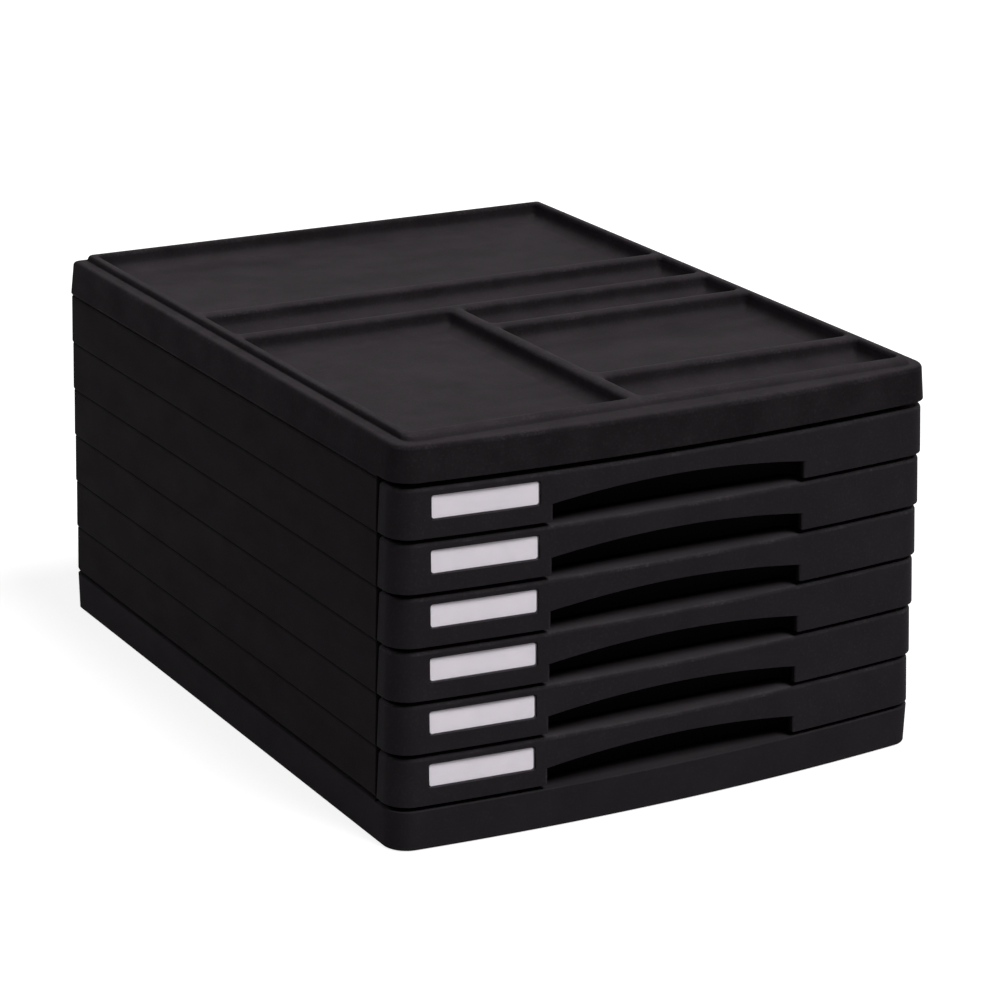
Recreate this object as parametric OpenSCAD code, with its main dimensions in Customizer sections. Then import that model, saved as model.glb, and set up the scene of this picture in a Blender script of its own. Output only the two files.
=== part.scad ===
// Desktop drawer unit: a plinth, six stacked level frames, six drawers and an organiser cover.
// Millimetres, +Z up, the drawer fronts face -Y. The origin is on the desk under the middle of the unit.

/* [Unit] */
// Width over the casing
unit_w = 290; // [270:1:320]
// Depth from the middle of the bowed front to the back
unit_d = 373; // [350:1:400]
// Height over the organiser's rim
unit_h = 197; // [192:1:240]
// How far the middle of the front stands ahead of its corners
front_bow = 8.4; // [4:0.2:12]
// Radius of the two front corners, seen from above
front_corner_r = 12.5; // [10:0.5:16]
// Radius of the two rear corners, seen from above
rear_corner_r = 2.5; // [1.5:0.5:9]

/* [Casing] */
// Height of the plane that the lowest level frame stands on
plinth_h = 21; // [16:0.2:24]
// Wall thickness of the casing at the top of each moulding
casing_wall = 2; // [1.6:0.1:2.6]
// Thickness of each level's deck
deck_t = 1.8; // [1.4:0.1:2.4]
// How much narrower each level frame is at its top than at its foot, on each side
frame_draft = 0.4; // [0.2:0.1:1.4]
// How far each level's foot is drawn in above the joint
joint_inset = 0.9; // [0.6:0.1:1.1]
// Height of each level's drawn-in foot
joint_h = 1.8; // [1.2:0.1:2.2]
// Edge break along the top of each level
joint_ease = 0.3; // [0.2:0.1:0.5]
// How far the rubber feet stand below the plinth
foot_proud = 0.5; // [0.3:0.1:1.6]
// Diameter of each rubber foot
foot_d = 16; // [12:1:20]
// Thickness of each rubber foot
foot_t = 3; // [2.4:0.2:4]

/* [Drawer fronts] */
// Depth of the drawer fronts, from the middle of the bow to the side seam
front_depth = 26; // [24:0.5:32]
// Gap between one drawer front and the next
front_gap = 2.3; // [1:0.1:2.6]
// Gap between a drawer front's side return and the casing
seam_gap = 1.3; // [0.5:0.1:1.6]
// How much further back the front's face is at its top than at its foot
front_draft = 1; // [0.6:0.1:1.8]
// Height of the edge break along the front's foot
front_foot_ease = 0.7; // [0.3:0.1:0.9]
// Rounding of the front's upper edge
front_edge_r = 1.8; // [1.2:0.1:2.2]
// Thickness of the front's skin at its top
front_skin = 2; // [1.6:0.1:2.4]
// Thickness of the ledge along the front's top
ledge_t = 1.8; // [1.4:0.1:2.2]

/* [Finger pulls] */
// Distance from the label to the finger pull
pull_margin = 6.2; // [5:0.2:12]
// Height of the finger pull's opening at its two ends
pull_end_h = 8.2; // [7:0.1:11]
// Height of the finger pull's opening in its middle
pull_mid_h = 13.4; // [12:0.1:16]
// Depth of the finger pull behind the middle of the front
pull_depth = 13; // [11:0.5:15]
// Radius of the pull's two rear corners, seen from above
pull_corner_r = 9; // [6:0.5:9]

/* [Labels] */
// Distance from the casing's side to the label's outer end
label_margin = 17.2; // [16:0.1:20]
// Width of the label window
label_w = 53.5; // [48:0.5:55]
// Height of the label window
label_h = 11.3; // [9:0.1:12.4]
// Distance from the front's upper edge down to the label
label_drop = 3.7; // [2.6:0.1:4.4]
// Thickness of the clear window
window_t = 0.8; // [0.6:0.1:1]
// Thickness of the label card
card_t = 0.3; // [0.2:0.05:0.5]

/* [Drawer trays] */
// Wall thickness of the trays
tray_wall = 1.8; // [1.4:0.1:2.2]
// Floor thickness of the trays
tray_floor = 1.6; // [1.2:0.1:2]
// Room between a tray's side and the casing wall
tray_side_room = 3; // [2.8:0.1:4]
// Room between a tray's rear and the casing's back
tray_rear_room = 2; // [1:0.1:4]
// Room between a tray's rim and the deck above it
tray_top_room = 0.6; // [0.4:0.1:1]
// How far a drawer pulls out before its stops meet
drawer_travel = 250; // [180:1:260]
// Height of the runner ribs that the trays slide on
runner_h = 0.8; // [0.5:0.1:1]
// Distance from the middle of the unit to each runner rib
runner_offset = 120; // [90:1:122]

/* [Cover] */
// Height of the cover above the topmost joint
cover_h = 22; // [19:0.2:25]
// How much narrower the cover's skirt is at its top than at its foot, on each side
cover_draft = 1.4; // [0.8:0.1:1.6]
// Height of the rim above the cover's shoulder
bead_h = 3; // [2:0.1:3.4]
// Distance from the casing's sides to the foot of the rim
groove_inset = 8; // [7.4:0.1:8.3]
// Distance from the ends of the bow to the foot of the rim's straight front
rim_land = 4.1; // [3.6:0.1:5]
// Distance from the casing's sides to the inner edge of the rim
rim_inset = 13; // [12.8:0.1:14.4]
// Distance from the casing's back to the inner edge of the rim
rear_rim_inset = 8.6; // [8.4:0.1:12]
// Depth of the organiser's compartments below the rim
dish_depth = 9.2; // [7:0.1:9.6]
// Thickness of the organiser's floor
dish_floor = 2; // [1.6:0.1:2.4]
// Width of the ridges between the compartments
ridge_w = 8; // [7:0.5:9]
// Distance from the ends of the bow to the organiser's straight inner front edge
front_land = 11.6; // [11:0.2:15]
// Width of the pen groove across the whole cover
long_groove_w = 35.5; // [30:0.5:38]
// Depth of the rear compartment, front to back
rear_dish_d = 124; // [90:1:126]
// Width of the rear pen groove on the right
rear_groove_w = 30; // [28:0.5:34]
// Width of the front pen groove on the right
front_groove_w = 35; // [30:0.5:40]
// Distance from the middle of the unit to the divider, towards the left
divider_offset = 15; // [5:1:30]

/* [Hidden] */
LEVELS = 6;

// Directions seen from above, in degrees from +X
RIGHT = 0;
BACK = 90;
LEFT = 180;
FRONT = 270;

// Small shared sizes
eps = 0.01;
reach = 2 * unit_d;
fit_gap = 0.2;
edge_mid = 0.3;
bow_steps = 24;
corner_steps = 8;
small_steps = 5;
round_fn = 64;
arch_fn = 360;
least_corner_r = 1.5;

// Planes of the casing
stack_top = unit_h - cover_h;
level_pitch = (stack_top - plinth_h) / LEVELS;
front_y = -unit_d / 2;
seam_y = front_y + front_depth;
casing_front_y = seam_y + seam_gap / 2;
front_back_y = seam_y - seam_gap / 2;
half_gap = front_gap / 2;
bow_r = (pow(unit_w / 2, 2) + pow(front_bow, 2)) / (2 * front_bow);
bow_cy = front_y + bow_r;

// The joint on the plinth is this much deeper and taller than those between the levels
lowest_joint = 1.4;

// Inside of the casing
frame_inset = casing_wall + frame_draft;
bay_half_w = unit_w / 2 - frame_inset;
bay_back_y = unit_d / 2 - frame_inset;

// Trays
tray_half_w = bay_half_w - tray_side_room;
tray_back_y = bay_back_y - tray_rear_room;
pull_back_y = front_y + pull_depth;
tray_inner_front_y = pull_back_y + tray_wall;
tray_lift = runner_h + fit_gap;
tray_rim = level_pitch - deck_t - tray_top_room;
tray_corner_r = 5;
runner_w = 3;
runner_end_room = 10;

// Stops on the casing walls and lugs on the trays
stop_side_room = 0.6;
lug_side_room = 0.8;
stop_l = 6;
stop_h = 8;
stop_z = 8;
stop_setback = 10;
stop_touch = 0.3;
stop_reach = tray_side_room - stop_side_room;
lug_reach = tray_side_room - lug_side_room;
stop_front_y = casing_front_y + stop_setback;
lug_y = stop_front_y + stop_l + drawer_travel + stop_touch;

// Tabs that locate each moulding on the deck below
tab_l = 16;
tab_t = 1.3;
tab_depth = 2.4;
tab_room = 0.3;
tab_setback = 0.15;
tab_pad_l = 20;
tab_pad_h = 5;
tab_pad_t = 2;
tab_front = 45;
tab_rear = 50;
tab_ys = [casing_front_y + tab_front, unit_d / 2 - tab_rear];

// Drawer front
front_inset = front_skin + front_draft;
front_top = level_pitch - front_gap;
face_h = front_top - front_edge_r - front_foot_ease;
rib_t = 1.5;
rib_count = 2;

// Label, laid flat against the bowed and drafted face
label_room = 0.15;
card_margin = 0.3;
label_corner_r = 1.2;
label_rim = 1;
label_offset = unit_w / 2 - label_margin - label_w / 2;
label_rise = front_top - label_drop - label_h / 2;
label_inset = front_draft * (label_rise - front_foot_ease) / face_h;
window_sink = pow(label_w, 2) / (8 * bow_r) + 0.1;
label_recess = card_t + window_t + window_sink;
label_turn = -asin(label_offset / bow_r);
label_lean = -atan(front_draft / face_h);
label_face_y = bow_cy - sqrt(pow(bow_r - label_inset, 2) - pow(label_offset, 2));

// Finger pull
pull_wall = 1.8;
pull_w = unit_w - 2 * (label_margin + label_w + pull_margin);
pull_arch_rise = pull_mid_h - pull_end_h;
pull_arch_r = (pow(pull_w / 2, 2) + pow(pull_arch_rise, 2)) / (2 * pull_arch_rise);

// Plinth
plinth_skin = 2;
plinth_wall = 2.4;
plinth_taper = 0.5;
plinth_edge_r = 0.7;
plinth_inset = plinth_wall + plinth_taper;
plinth_rib_x = 60;
plinth_rib_clear = 1.2;
foot_boss_wall = 2;
foot_inset_x = 23;
foot_inset_front = 36;
foot_inset_rear = 26;
foot_xs = [-unit_w / 2 + foot_inset_x, unit_w / 2 - foot_inset_x];
foot_ys = [front_y + foot_inset_front, unit_d / 2 - foot_inset_rear];

// Cover
cover_lift = 1.7;
cover_skin = 2.2;
cover_edge_r = 2.4;
cover_inset = casing_wall + cover_draft;
shoulder_z = unit_h - bead_h;
rim_root = 1;
rim_corner_r = 7;
rear_rim_foot = 4.5;
rim_front = front_y + front_bow + rim_land;
dish_z = unit_h - dish_depth;
dish_wall = 2;
ridge_edge = 1.8;
dish_corner_r = 2.4;
least_dish_r = 0.6;
organiser_x = unit_w / 2 - rim_inset;
organiser_back = unit_d / 2 - rear_rim_inset;
organiser_front = front_y + front_bow + front_land;
ridge_1 = organiser_back - rear_dish_d;
groove_1_front = ridge_1 - ridge_w - long_groove_w;
low_back = groove_1_front - ridge_w;
divider_left = -divider_offset - ridge_w / 2;
divider_right = -divider_offset + ridge_w / 2;
groove_2_front = low_back - rear_groove_w;
groove_3_back = organiser_front + front_groove_w;

// Outer face of the rim from its foot up: [side inset, front inset, back inset, share of its height]
rim_face = [
    [0, 0, 0, 0],
    [0.2, 0.6, 0.3, 0.33],
    [0.6, 2.2, 0.8, 0.73],
    [1.6, 5.2, 1.7, 1]
];

// Shared top of every compartment's wall: [side inset, front inset, back inset, depth]
rim_rounding = [
    [-ridge_edge, -ridge_edge, -ridge_edge, -1],
    [-ridge_edge, -ridge_edge, -ridge_edge, 0],
    [-ridge_edge * edge_mid, -ridge_edge * edge_mid, -ridge_edge * edge_mid, ridge_edge * edge_mid]
];

// Compartment with a flat floor, scooped along its sides and its back
dish_profile = concat(rim_rounding, [
    [0, 0, 0, ridge_edge],
    [0.6, 0.4, 0.4, dish_depth * 0.6],
    [2.4, 1.2, 2.4, dish_depth * 0.85],
    [7, 3.6, 8, dish_depth]
]);

// Pen groove, scooped all round
groove_profile = concat(rim_rounding, [
    [0, 0.6, 0.4, ridge_edge],
    [0.6, 4, 2.4, dish_depth * 0.6],
    [2.4, 9, 5, dish_depth * 0.85],
    [7, 16, 9, dish_depth]
]);

function level_z(k) = plinth_h + (LEVELS - k) * level_pitch;

// Points along an arc, from step first to step last of steps
function arc(cx, cy, r, a0, a1, steps, first, last) =
    [for (i = [first : last]) let (a = a0 + (a1 - a0) * i / steps) [cx + r * cos(a), cy + r * sin(a)]];

// The casing's outline seen from above, drawn in by inset: bowed front, rounded corners
function plan(inset) =
    let (
        half_w = unit_w / 2 - inset,
        back = unit_d / 2 - inset,
        rf = max(front_corner_r - inset, least_corner_r),
        rr = max(rear_corner_r - inset, least_corner_r),
        bow = bow_r - inset,
        xc = half_w - rf,
        yc = bow_cy - sqrt(pow(bow - rf, 2) - pow(xc, 2)),
        turn = atan2(xc, bow_cy - yc)
    )
    concat(
        arc(0, bow_cy, bow, FRONT - turn, FRONT + turn, bow_steps, 0, bow_steps),
        arc(xc, yc, rf, turn - BACK, RIGHT, corner_steps, 1, corner_steps),
        arc(half_w - rr, back - rr, rr, RIGHT, BACK, corner_steps, 0, corner_steps),
        arc(rr - half_w, back - rr, rr, BACK, LEFT, corner_steps, 0, corner_steps),
        arc(-xc, yc, rf, LEFT, FRONT - turn, corner_steps, 0, corner_steps - 1)
    );

// The rim's outline seen from above: a straight front, drawn in from the sides, the foot line and the back
function rim_plan(side, front, back) =
    let (
        half_w = unit_w / 2 - side,
        y0 = rim_front + front,
        y1 = unit_d / 2 - back,
        rf = rim_corner_r + groove_inset - side,
        rr = least_corner_r
    )
    concat(
        arc(half_w - rf, y0 + rf, rf, -BACK, RIGHT, corner_steps, 0, corner_steps),
        arc(half_w - rr, y1 - rr, rr, RIGHT, BACK, corner_steps, 0, corner_steps),
        arc(rr - half_w, y1 - rr, rr, BACK, LEFT, corner_steps, 0, corner_steps),
        arc(rf - half_w, y0 + rf, rf, LEFT, FRONT, corner_steps, 0, corner_steps)
    );

// A rectangle with rounded corners
function round_box(x0, x1, y0, y1, r, steps) =
    concat(
        arc(x1 - r, y0 + r, r, -BACK, RIGHT, steps, 0, steps),
        arc(x1 - r, y1 - r, r, RIGHT, BACK, steps, 0, steps),
        arc(x0 + r, y1 - r, r, BACK, LEFT, steps, 0, steps),
        arc(x0 + r, y0 + r, r, LEFT, FRONT, steps, 0, steps)
    );

// A solid through a stack of closed rings, each [points, z], listed from the bottom up
module loft(rings) {
    n = len(rings[0][0]);
    m = len(rings);
    points = [for (ring = rings) for (p = ring[0]) [p[0], p[1], ring[1]]];
    sides = [
        for (s = [0 : m - 2])
            for (i = [0 : n - 1])
                let (j = (i + 1) % n)
                    [s * n + i, (s + 1) * n + i, (s + 1) * n + j, s * n + j]
    ];
    foot = [for (i = [0 : n - 1]) i];
    head = [for (i = [n - 1 : -1 : 0]) (m - 1) * n + i];
    polyhedron(points = points, faces = concat([foot], sides, [head]), convexity = 8);
}

// The casing's outline lofted through [inset, z] pairs
module shell(steps) {
    loft([for (s = steps) [plan(s[0]), s[1]]]);
}

// A plain wall of the casing's outline
module prism(inset, z0, z1) {
    translate([0, 0, z0]) linear_extrude(z1 - z0) polygon(plan(inset));
}

module box(x0, x1, y0, y1, z0, z1) {
    translate([x0, y0, z0]) cube([x1 - x0, y1 - y0, z1 - z0]);
}

module mirrored() {
    children();
    mirror([1, 0, 0]) children();
}

// Everything behind, or ahead of, a plane across the unit
module behind(y) {
    box(-reach, reach, y, reach, -reach, reach);
}

module ahead(y) {
    box(-reach, reach, -reach, y, -reach, reach);
}

// Ribs that a tray slides on, standing on a deck at height z
module runners(z) {
    mirrored() box(
        runner_offset - runner_w / 2, runner_offset + runner_w / 2,
        casing_front_y + runner_end_room, bay_back_y - runner_end_room, z - eps, z + runner_h
    );
}

// Tabs under the side walls of a moulding that stands at height z, with the pads that carry them
module tabs(z) {
    pad_x = bay_half_w - tab_pad_t;
    tab_x = pad_x + tab_setback;
    mirrored() for (y = tab_ys) {
        box(pad_x, bay_half_w + casing_wall / 2, y - tab_pad_l / 2, y + tab_pad_l / 2, z, z + tab_pad_h);
        box(tab_x, tab_x + tab_t, y - tab_l / 2, y + tab_l / 2, z - tab_depth, z + eps);
    }
}

// Slots in a deck whose top is at height z, for the tabs of the moulding above
module tab_slots(z, thickness) {
    slot_x = bay_half_w - tab_pad_t - tab_setback;
    mirrored() for (y = tab_ys) box(
        slot_x, slot_x + tab_t + 2 * tab_room,
        y - tab_l / 2 - tab_room, y + tab_l / 2 + tab_room, z - thickness - 1, z + 1
    );
}

module base_plinth() {
    skin_z = plinth_h - plinth_skin;
    color("#1d1b1e") difference() {
        union() {
            difference() {
                shell([
                    [plinth_taper + plinth_edge_r, foot_proud],
                    [plinth_taper + plinth_edge_r * edge_mid, foot_proud + plinth_edge_r * edge_mid],
                    [plinth_taper, foot_proud + plinth_edge_r],
                    [0, plinth_h - joint_ease],
                    [joint_ease, plinth_h]
                ]);
                intersection() {
                    prism(plinth_inset, -eps, skin_z);
                    behind(casing_front_y);
                }
                prism(plinth_inset, -eps, skin_z - half_gap);
            }
            intersection() {
                prism(plinth_wall, foot_proud + plinth_rib_clear, skin_z + eps);
                mirrored() box(
                    plinth_rib_x - rib_t / 2, plinth_rib_x + rib_t / 2, -reach, reach, -reach, reach
                );
            }
            for (x = foot_xs) for (y = foot_ys)
                translate([x, y, foot_proud])
                    cylinder(r = foot_d / 2 + foot_boss_wall, h = skin_z - foot_proud + eps, $fn = round_fn);
            runners(plinth_h);
        }
        intersection() {
            ahead(casing_front_y);
            prism(-1, plinth_h - half_gap, plinth_h + runner_h + 1);
        }
        tab_slots(plinth_h, plinth_skin);
        for (x = foot_xs) for (y = foot_ys)
            translate([x, y, -1]) cylinder(r = foot_d / 2 + fit_gap, h = foot_t + 1, $fn = round_fn);
    }
}

module rubber_feet() {
    color("#101010") for (x = foot_xs) for (y = foot_ys)
        translate([x, y, 0]) cylinder(r = foot_d / 2, h = foot_t, $fn = round_fn);
}

module level_frame(k) {
    z = level_z(k);
    top = z + level_pitch;
    foot_share = k == LEVELS ? lowest_joint : 1;
    color("#1a181a") difference() {
        union() {
            intersection() {
                difference() {
                    shell([
                        [joint_inset * foot_share, z],
                        [0, z + joint_h * foot_share],
                        [frame_draft, top - joint_ease],
                        [frame_draft + joint_ease, top]
                    ]);
                    prism(frame_inset, z - 1, top - deck_t);
                }
                behind(casing_front_y);
            }
            mirrored() box(
                bay_half_w - stop_reach, bay_half_w + casing_wall / 2,
                stop_front_y, stop_front_y + stop_l, z + stop_z, z + stop_z + stop_h
            );
            runners(top);
            tabs(z);
        }
        tab_slots(top, deck_t);
    }
}

// Moves a label piece, drawn flat and centred, onto the face of drawer k
module on_label(k) {
    translate([-label_offset, label_face_y, level_z(k) + half_gap + label_rise])
        rotate([0, 0, label_turn]) rotate([label_lean, 0, 0]) rotate([90, 0, 0]) children();
}

module label_plate(w, h, z0, z1) {
    translate([0, 0, z0]) linear_extrude(z1 - z0)
        polygon(round_box(-w / 2, w / 2, -h / 2, h / 2, label_corner_r, small_steps));
}

// The finger pull's plan, from well ahead of the front to its back wall
module pull_plan(wall) {
    half_w = pull_w / 2 + wall;
    polygon(round_box(
        -half_w, half_w, front_y - unit_d / 4, pull_back_y + wall, pull_corner_r + wall, corner_steps
    ));
}

// The opening in the front's skin, arched along its upper edge
module pull_mouth(z) {
    translate([0, pull_back_y, z]) rotate([90, 0, 0]) linear_extrude(unit_d / 4) intersection() {
        translate([-pull_w / 2, -1]) square([pull_w, pull_mid_h + 1]);
        translate([0, pull_mid_h - pull_arch_r]) circle(r = pull_arch_r, $fn = arch_fn);
    }
}

// Plan of the hollow behind the front's skin, with the pull's wall and ribs left standing
module cavity_plan() {
    first_x = pull_w / 2 + pull_wall;
    rib_step = (unit_w / 2 - front_inset - first_x) / (rib_count + 1);
    difference() {
        polygon(plan(front_inset));
        translate([-tray_half_w, pull_back_y]) square([2 * tray_half_w, reach]);
        translate([-reach, front_back_y]) square([2 * reach, reach]);
        difference() {
            pull_plan(pull_wall);
            pull_plan(0);
        }
        for (side = [-1, 1]) for (i = [1 : rib_count])
            translate([side * (first_x + rib_step * i) - rib_t / 2, -reach]) square([rib_t, 2 * reach]);
    }
}

module drawer(k) {
    z = level_z(k);
    foot = z + half_gap;
    top = foot + front_top;
    color("#211f22") difference() {
        union() {
            difference() {
                intersection() {
                    shell([
                        [front_foot_ease, foot],
                        [0, foot + front_foot_ease],
                        [front_draft, top - front_edge_r],
                        [front_draft + front_edge_r * edge_mid, top - front_edge_r * edge_mid],
                        [front_draft + front_edge_r, top]
                    ]);
                    ahead(front_back_y);
                }
                difference() {
                    translate([0, 0, foot - 1]) linear_extrude(front_top - ledge_t + 1) cavity_plan();
                    on_label(k) label_plate(
                        label_w + 2 * label_rim, label_h + 2 * label_rim, -label_recess - label_rim, 0
                    );
                }
                pull_mouth(foot);
                on_label(k) label_plate(
                    label_w + 2 * label_room, label_h + 2 * label_room, -label_recess, label_recess
                );
            }
            translate([0, 0, z + tray_lift]) linear_extrude(tray_rim - tray_lift) polygon(
                round_box(-tray_half_w, tray_half_w, pull_back_y, tray_back_y, tray_corner_r, small_steps)
            );
            mirrored() box(
                tray_half_w - tray_wall / 2, tray_half_w + lug_reach, lug_y, lug_y + stop_l,
                z + stop_z, z + stop_z + stop_h
            );
        }
        translate([0, 0, z + tray_lift + tray_floor]) linear_extrude(level_pitch) polygon(
            round_box(
                tray_wall - tray_half_w, tray_half_w - tray_wall, tray_inner_front_y, tray_back_y - tray_wall,
                tray_corner_r - tray_wall, small_steps
            )
        );
    }
}

module label_card(k) {
    color("#efeaf0") on_label(k)
        label_plate(
            label_w - 2 * card_margin, label_h - 2 * card_margin, -label_recess, card_t - label_recess
        );
}

module label_window(k) {
    color("#d8d2da", 0.5) on_label(k)
        label_plate(label_w, label_h, card_t - label_recess, card_t + window_t - label_recess);
}

// One compartment, as the solid to cut away, through a wall profile listed from the rim down
module compartment(x0, x1, y0, y1, profile) {
    last = len(profile) - 1;
    loft([
        for (i = [last : -1 : 0])
            let (s = profile[i])
                [
                    round_box(
                        x0 + s[0], x1 - s[0], y0 + s[1], y1 - s[2],
                        max(dish_corner_r - s[0], least_dish_r), small_steps
                    ),
                    unit_h - s[3]
                ]
    ]);
}

// The rim that stands on the cover's shoulder
module rim() {
    root = [rim_plan(groove_inset, 0, rear_rim_foot), shoulder_z - rim_root];
    loft(concat([root], [
        for (s = rim_face)
            [rim_plan(groove_inset + s[0], s[1], rear_rim_foot + s[2]), shoulder_z + s[3] * bead_h]
    ]));
}

// The channel under the cover's rim, outside the organiser's own walls
module rim_channel() {
    x = organiser_x + dish_wall;
    y0 = organiser_front - dish_wall;
    y1 = organiser_back + dish_wall;
    translate([0, 0, stack_top - 1]) linear_extrude(shoulder_z - cover_skin - stack_top + 1) difference() {
        polygon(plan(cover_inset));
        translate([-x, y0]) square([2 * x, y1 - y0]);
    }
}

module organiser_cover() {
    color("#38343a") difference() {
        union() {
            difference() {
                shell([
                    [joint_inset, stack_top],
                    [0, stack_top + joint_h],
                    [cover_draft, shoulder_z - cover_edge_r],
                    [cover_draft + cover_edge_r * edge_mid, shoulder_z - cover_edge_r * edge_mid],
                    [cover_draft + cover_edge_r, shoulder_z]
                ]);
                prism(cover_inset, stack_top - 1, dish_z - dish_floor);
                rim_channel();
            }
            rim();
            tabs(stack_top);
        }
        intersection() {
            ahead(casing_front_y);
            prism(-1, stack_top - tab_depth - 1, stack_top + cover_lift);
        }
        compartment(-organiser_x, organiser_x, ridge_1, organiser_back, dish_profile);
        compartment(-organiser_x, organiser_x, groove_1_front, ridge_1 - ridge_w, groove_profile);
        compartment(-organiser_x, divider_left, organiser_front, low_back, dish_profile);
        compartment(divider_right, organiser_x, groove_2_front, low_back, groove_profile);
        compartment(
            divider_right, organiser_x, groove_3_back + ridge_w, groove_2_front - ridge_w, dish_profile
        );
        compartment(divider_right, organiser_x, organiser_front, groove_3_back, groove_profile);
    }
}

base_plinth();
rubber_feet();
organiser_cover();
for (k = [1 : LEVELS]) {
    level_frame(k);
    drawer(k);
    label_card(k);
    label_window(k);
}
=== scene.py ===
import math

import bmesh
import bpy
from mathutils import Matrix, Vector


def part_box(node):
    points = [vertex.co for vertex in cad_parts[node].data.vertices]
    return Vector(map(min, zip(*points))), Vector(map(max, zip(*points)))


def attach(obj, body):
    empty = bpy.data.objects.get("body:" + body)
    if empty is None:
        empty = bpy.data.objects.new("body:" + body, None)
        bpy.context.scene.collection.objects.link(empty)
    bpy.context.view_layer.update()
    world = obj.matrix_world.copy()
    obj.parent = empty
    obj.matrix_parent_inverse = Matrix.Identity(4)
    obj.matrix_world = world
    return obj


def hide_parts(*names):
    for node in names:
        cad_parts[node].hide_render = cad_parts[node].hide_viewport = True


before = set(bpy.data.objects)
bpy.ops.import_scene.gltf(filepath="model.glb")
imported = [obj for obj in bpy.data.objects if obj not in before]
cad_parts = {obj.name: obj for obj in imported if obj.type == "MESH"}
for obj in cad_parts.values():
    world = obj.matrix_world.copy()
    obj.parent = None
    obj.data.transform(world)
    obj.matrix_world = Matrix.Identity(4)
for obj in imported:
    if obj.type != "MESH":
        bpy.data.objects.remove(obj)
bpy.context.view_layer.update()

# Desktop drawer unit: the looks. Sizes are in millimetres until a piece is finished.
MM = 0.001
LEVELS = 6


def span(node):
    low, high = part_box(node)
    return low / MM, high / MM


# Driving sizes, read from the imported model
plinth_low, plinth_high = span("base_plinth")
cover_high = span("organiser_cover")[1]
top_drawer_low, top_drawer_high = span("drawer_1")
low_drawer_low, low_drawer_high = span("drawer_6")
UNIT_W = plinth_high.x - plinth_low.x
UNIT_D = plinth_high.y - plinth_low.y
UNIT_H = cover_high.z
PITCH = (top_drawer_low.z - low_drawer_low.z) / (LEVELS - 1)
FRONT_TOP = low_drawer_high.z - low_drawer_low.z
HALF_GAP = (PITCH - FRONT_TOP) / 2
PLINTH_TOP = low_drawer_low.z - HALF_GAP
STACK_TOP = PLINTH_TOP + LEVELS * PITCH
PLINTH_FOOT = plinth_low.z
FRONT_Y = -UNIT_D / 2
HALF_W = UNIT_W / 2

# Outline seen from above
FRONT_BOW = 8.4
FRONT_CORNER_R = 12.5
REAR_CORNER_R = 2.5
LEAST_R = 1.5
BOW_R = (HALF_W ** 2 + FRONT_BOW ** 2) / (2 * FRONT_BOW)
BOW_CY = FRONT_Y + BOW_R
CORNER_STEPS = 10
REAR_STEPS = 8
BOW_STEPS = 40
CROWN_STEPS = 6

# Casing
FRONT_DEPTH = 26
SEAM_Y = FRONT_Y + FRONT_DEPTH
SEAM_GAP = 1.3
CASING_FRONT_Y = SEAM_Y + SEAM_GAP / 2
FRONT_BACK_Y = SEAM_Y - SEAM_GAP / 2
FRAME_DRAFT = 0.4
FRAME_INSET = 2.4
WALL_OVERLAP = 2
DECK_T = 1.8
BAY_HALF_W = HALF_W - FRAME_INSET
BAY_BACK_Y = UNIT_D / 2 - FRAME_INSET

# Joints between the levels: feet drawn in above them, and the painted shade along them
JOINT_INSET = 0.8
JOINT_H = 1.6
COVER_JOINT_INSET = 1.1
LOWEST_JOINT = 1.4
FOOT_STEPS = 5
FOOT_FADE = 1.15
SLIT_D = 1.2
SLIT_H = 0.5
PAINTED_JOINT_SHADE_FULL = 0.35
PAINTED_JOINT_SHADE_END = 1.7

# Rounding of the edges
EDGE_EASE = 0.5
JOINT_EASE = 0.3
FINE_EASE = 0.45
LABEL_EASE = 0.2
MOUTH_EASE = 1.3
CARD_EASE = 0.08
WINDOW_EASE = 0.22
SHARP = math.radians(32)
CREASE = math.radians(36)
SAME_SPOT = 0.0005

# Drawer fronts
FRONT_DRAFT = 1
FRONT_EDGE_R = 1.8
FRONT_INSET = 3
LEDGE_T = 1.8
LEDGE_LAP = 0.3
FOOT_EASE = 0.7
FACE_H = FRONT_TOP - FRONT_EDGE_R - FOOT_EASE

# Trays
PULL_DEPTH = 13
TRAY_SIDE_ROOM = 3
TRAY_TOP_ROOM = 0.6
TRAY_HALF_W = BAY_HALF_W - TRAY_SIDE_ROOM
TRAY_BACK_Y = top_drawer_high.y
TRAY_WALL = 1.8
TRAY_FRONT_Y = FRONT_Y + PULL_DEPTH
TRAY_LIFT = 1
TRAY_FLOOR = 1.6
TRAY_RIM = PITCH - DECK_T - TRAY_TOP_ROOM
TRAY_R = 5
TRAY_INNER_R = TRAY_R - TRAY_WALL
TRAY_FOOT_R = 1.6
TRAY_RIM_R = 0.7
TRAY_FILLET = 3
TRAY_LEAST_R = 1

# Labels
LABEL_W = 53.5
LABEL_H = 11.3
LABEL_MARGIN = 17.2
LABEL_DROP = 3.7
LABEL_ROOM = 0.15
LABEL_OFFSET = HALF_W - LABEL_MARGIN - LABEL_W / 2
LABEL_RISE = FRONT_TOP - LABEL_DROP - LABEL_H / 2
CARD_T = 0.3
WINDOW_T = 0.8
WINDOW_SINK = LABEL_W ** 2 / (8 * BOW_R) + 0.1
LABEL_RECESS = CARD_T + WINDOW_T + WINDOW_SINK
LABEL_R = 1.3
LABEL_CORNER_STEPS = 4
LABEL_STEPS = 6
CARD_SIDE_MARGIN = 0.6
CARD_MARGIN = 0.35
WINDOW_SIDE_MARGIN = 0.2
WINDOW_MARGIN = 0.15
PLATE_GAP = 0.02

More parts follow.
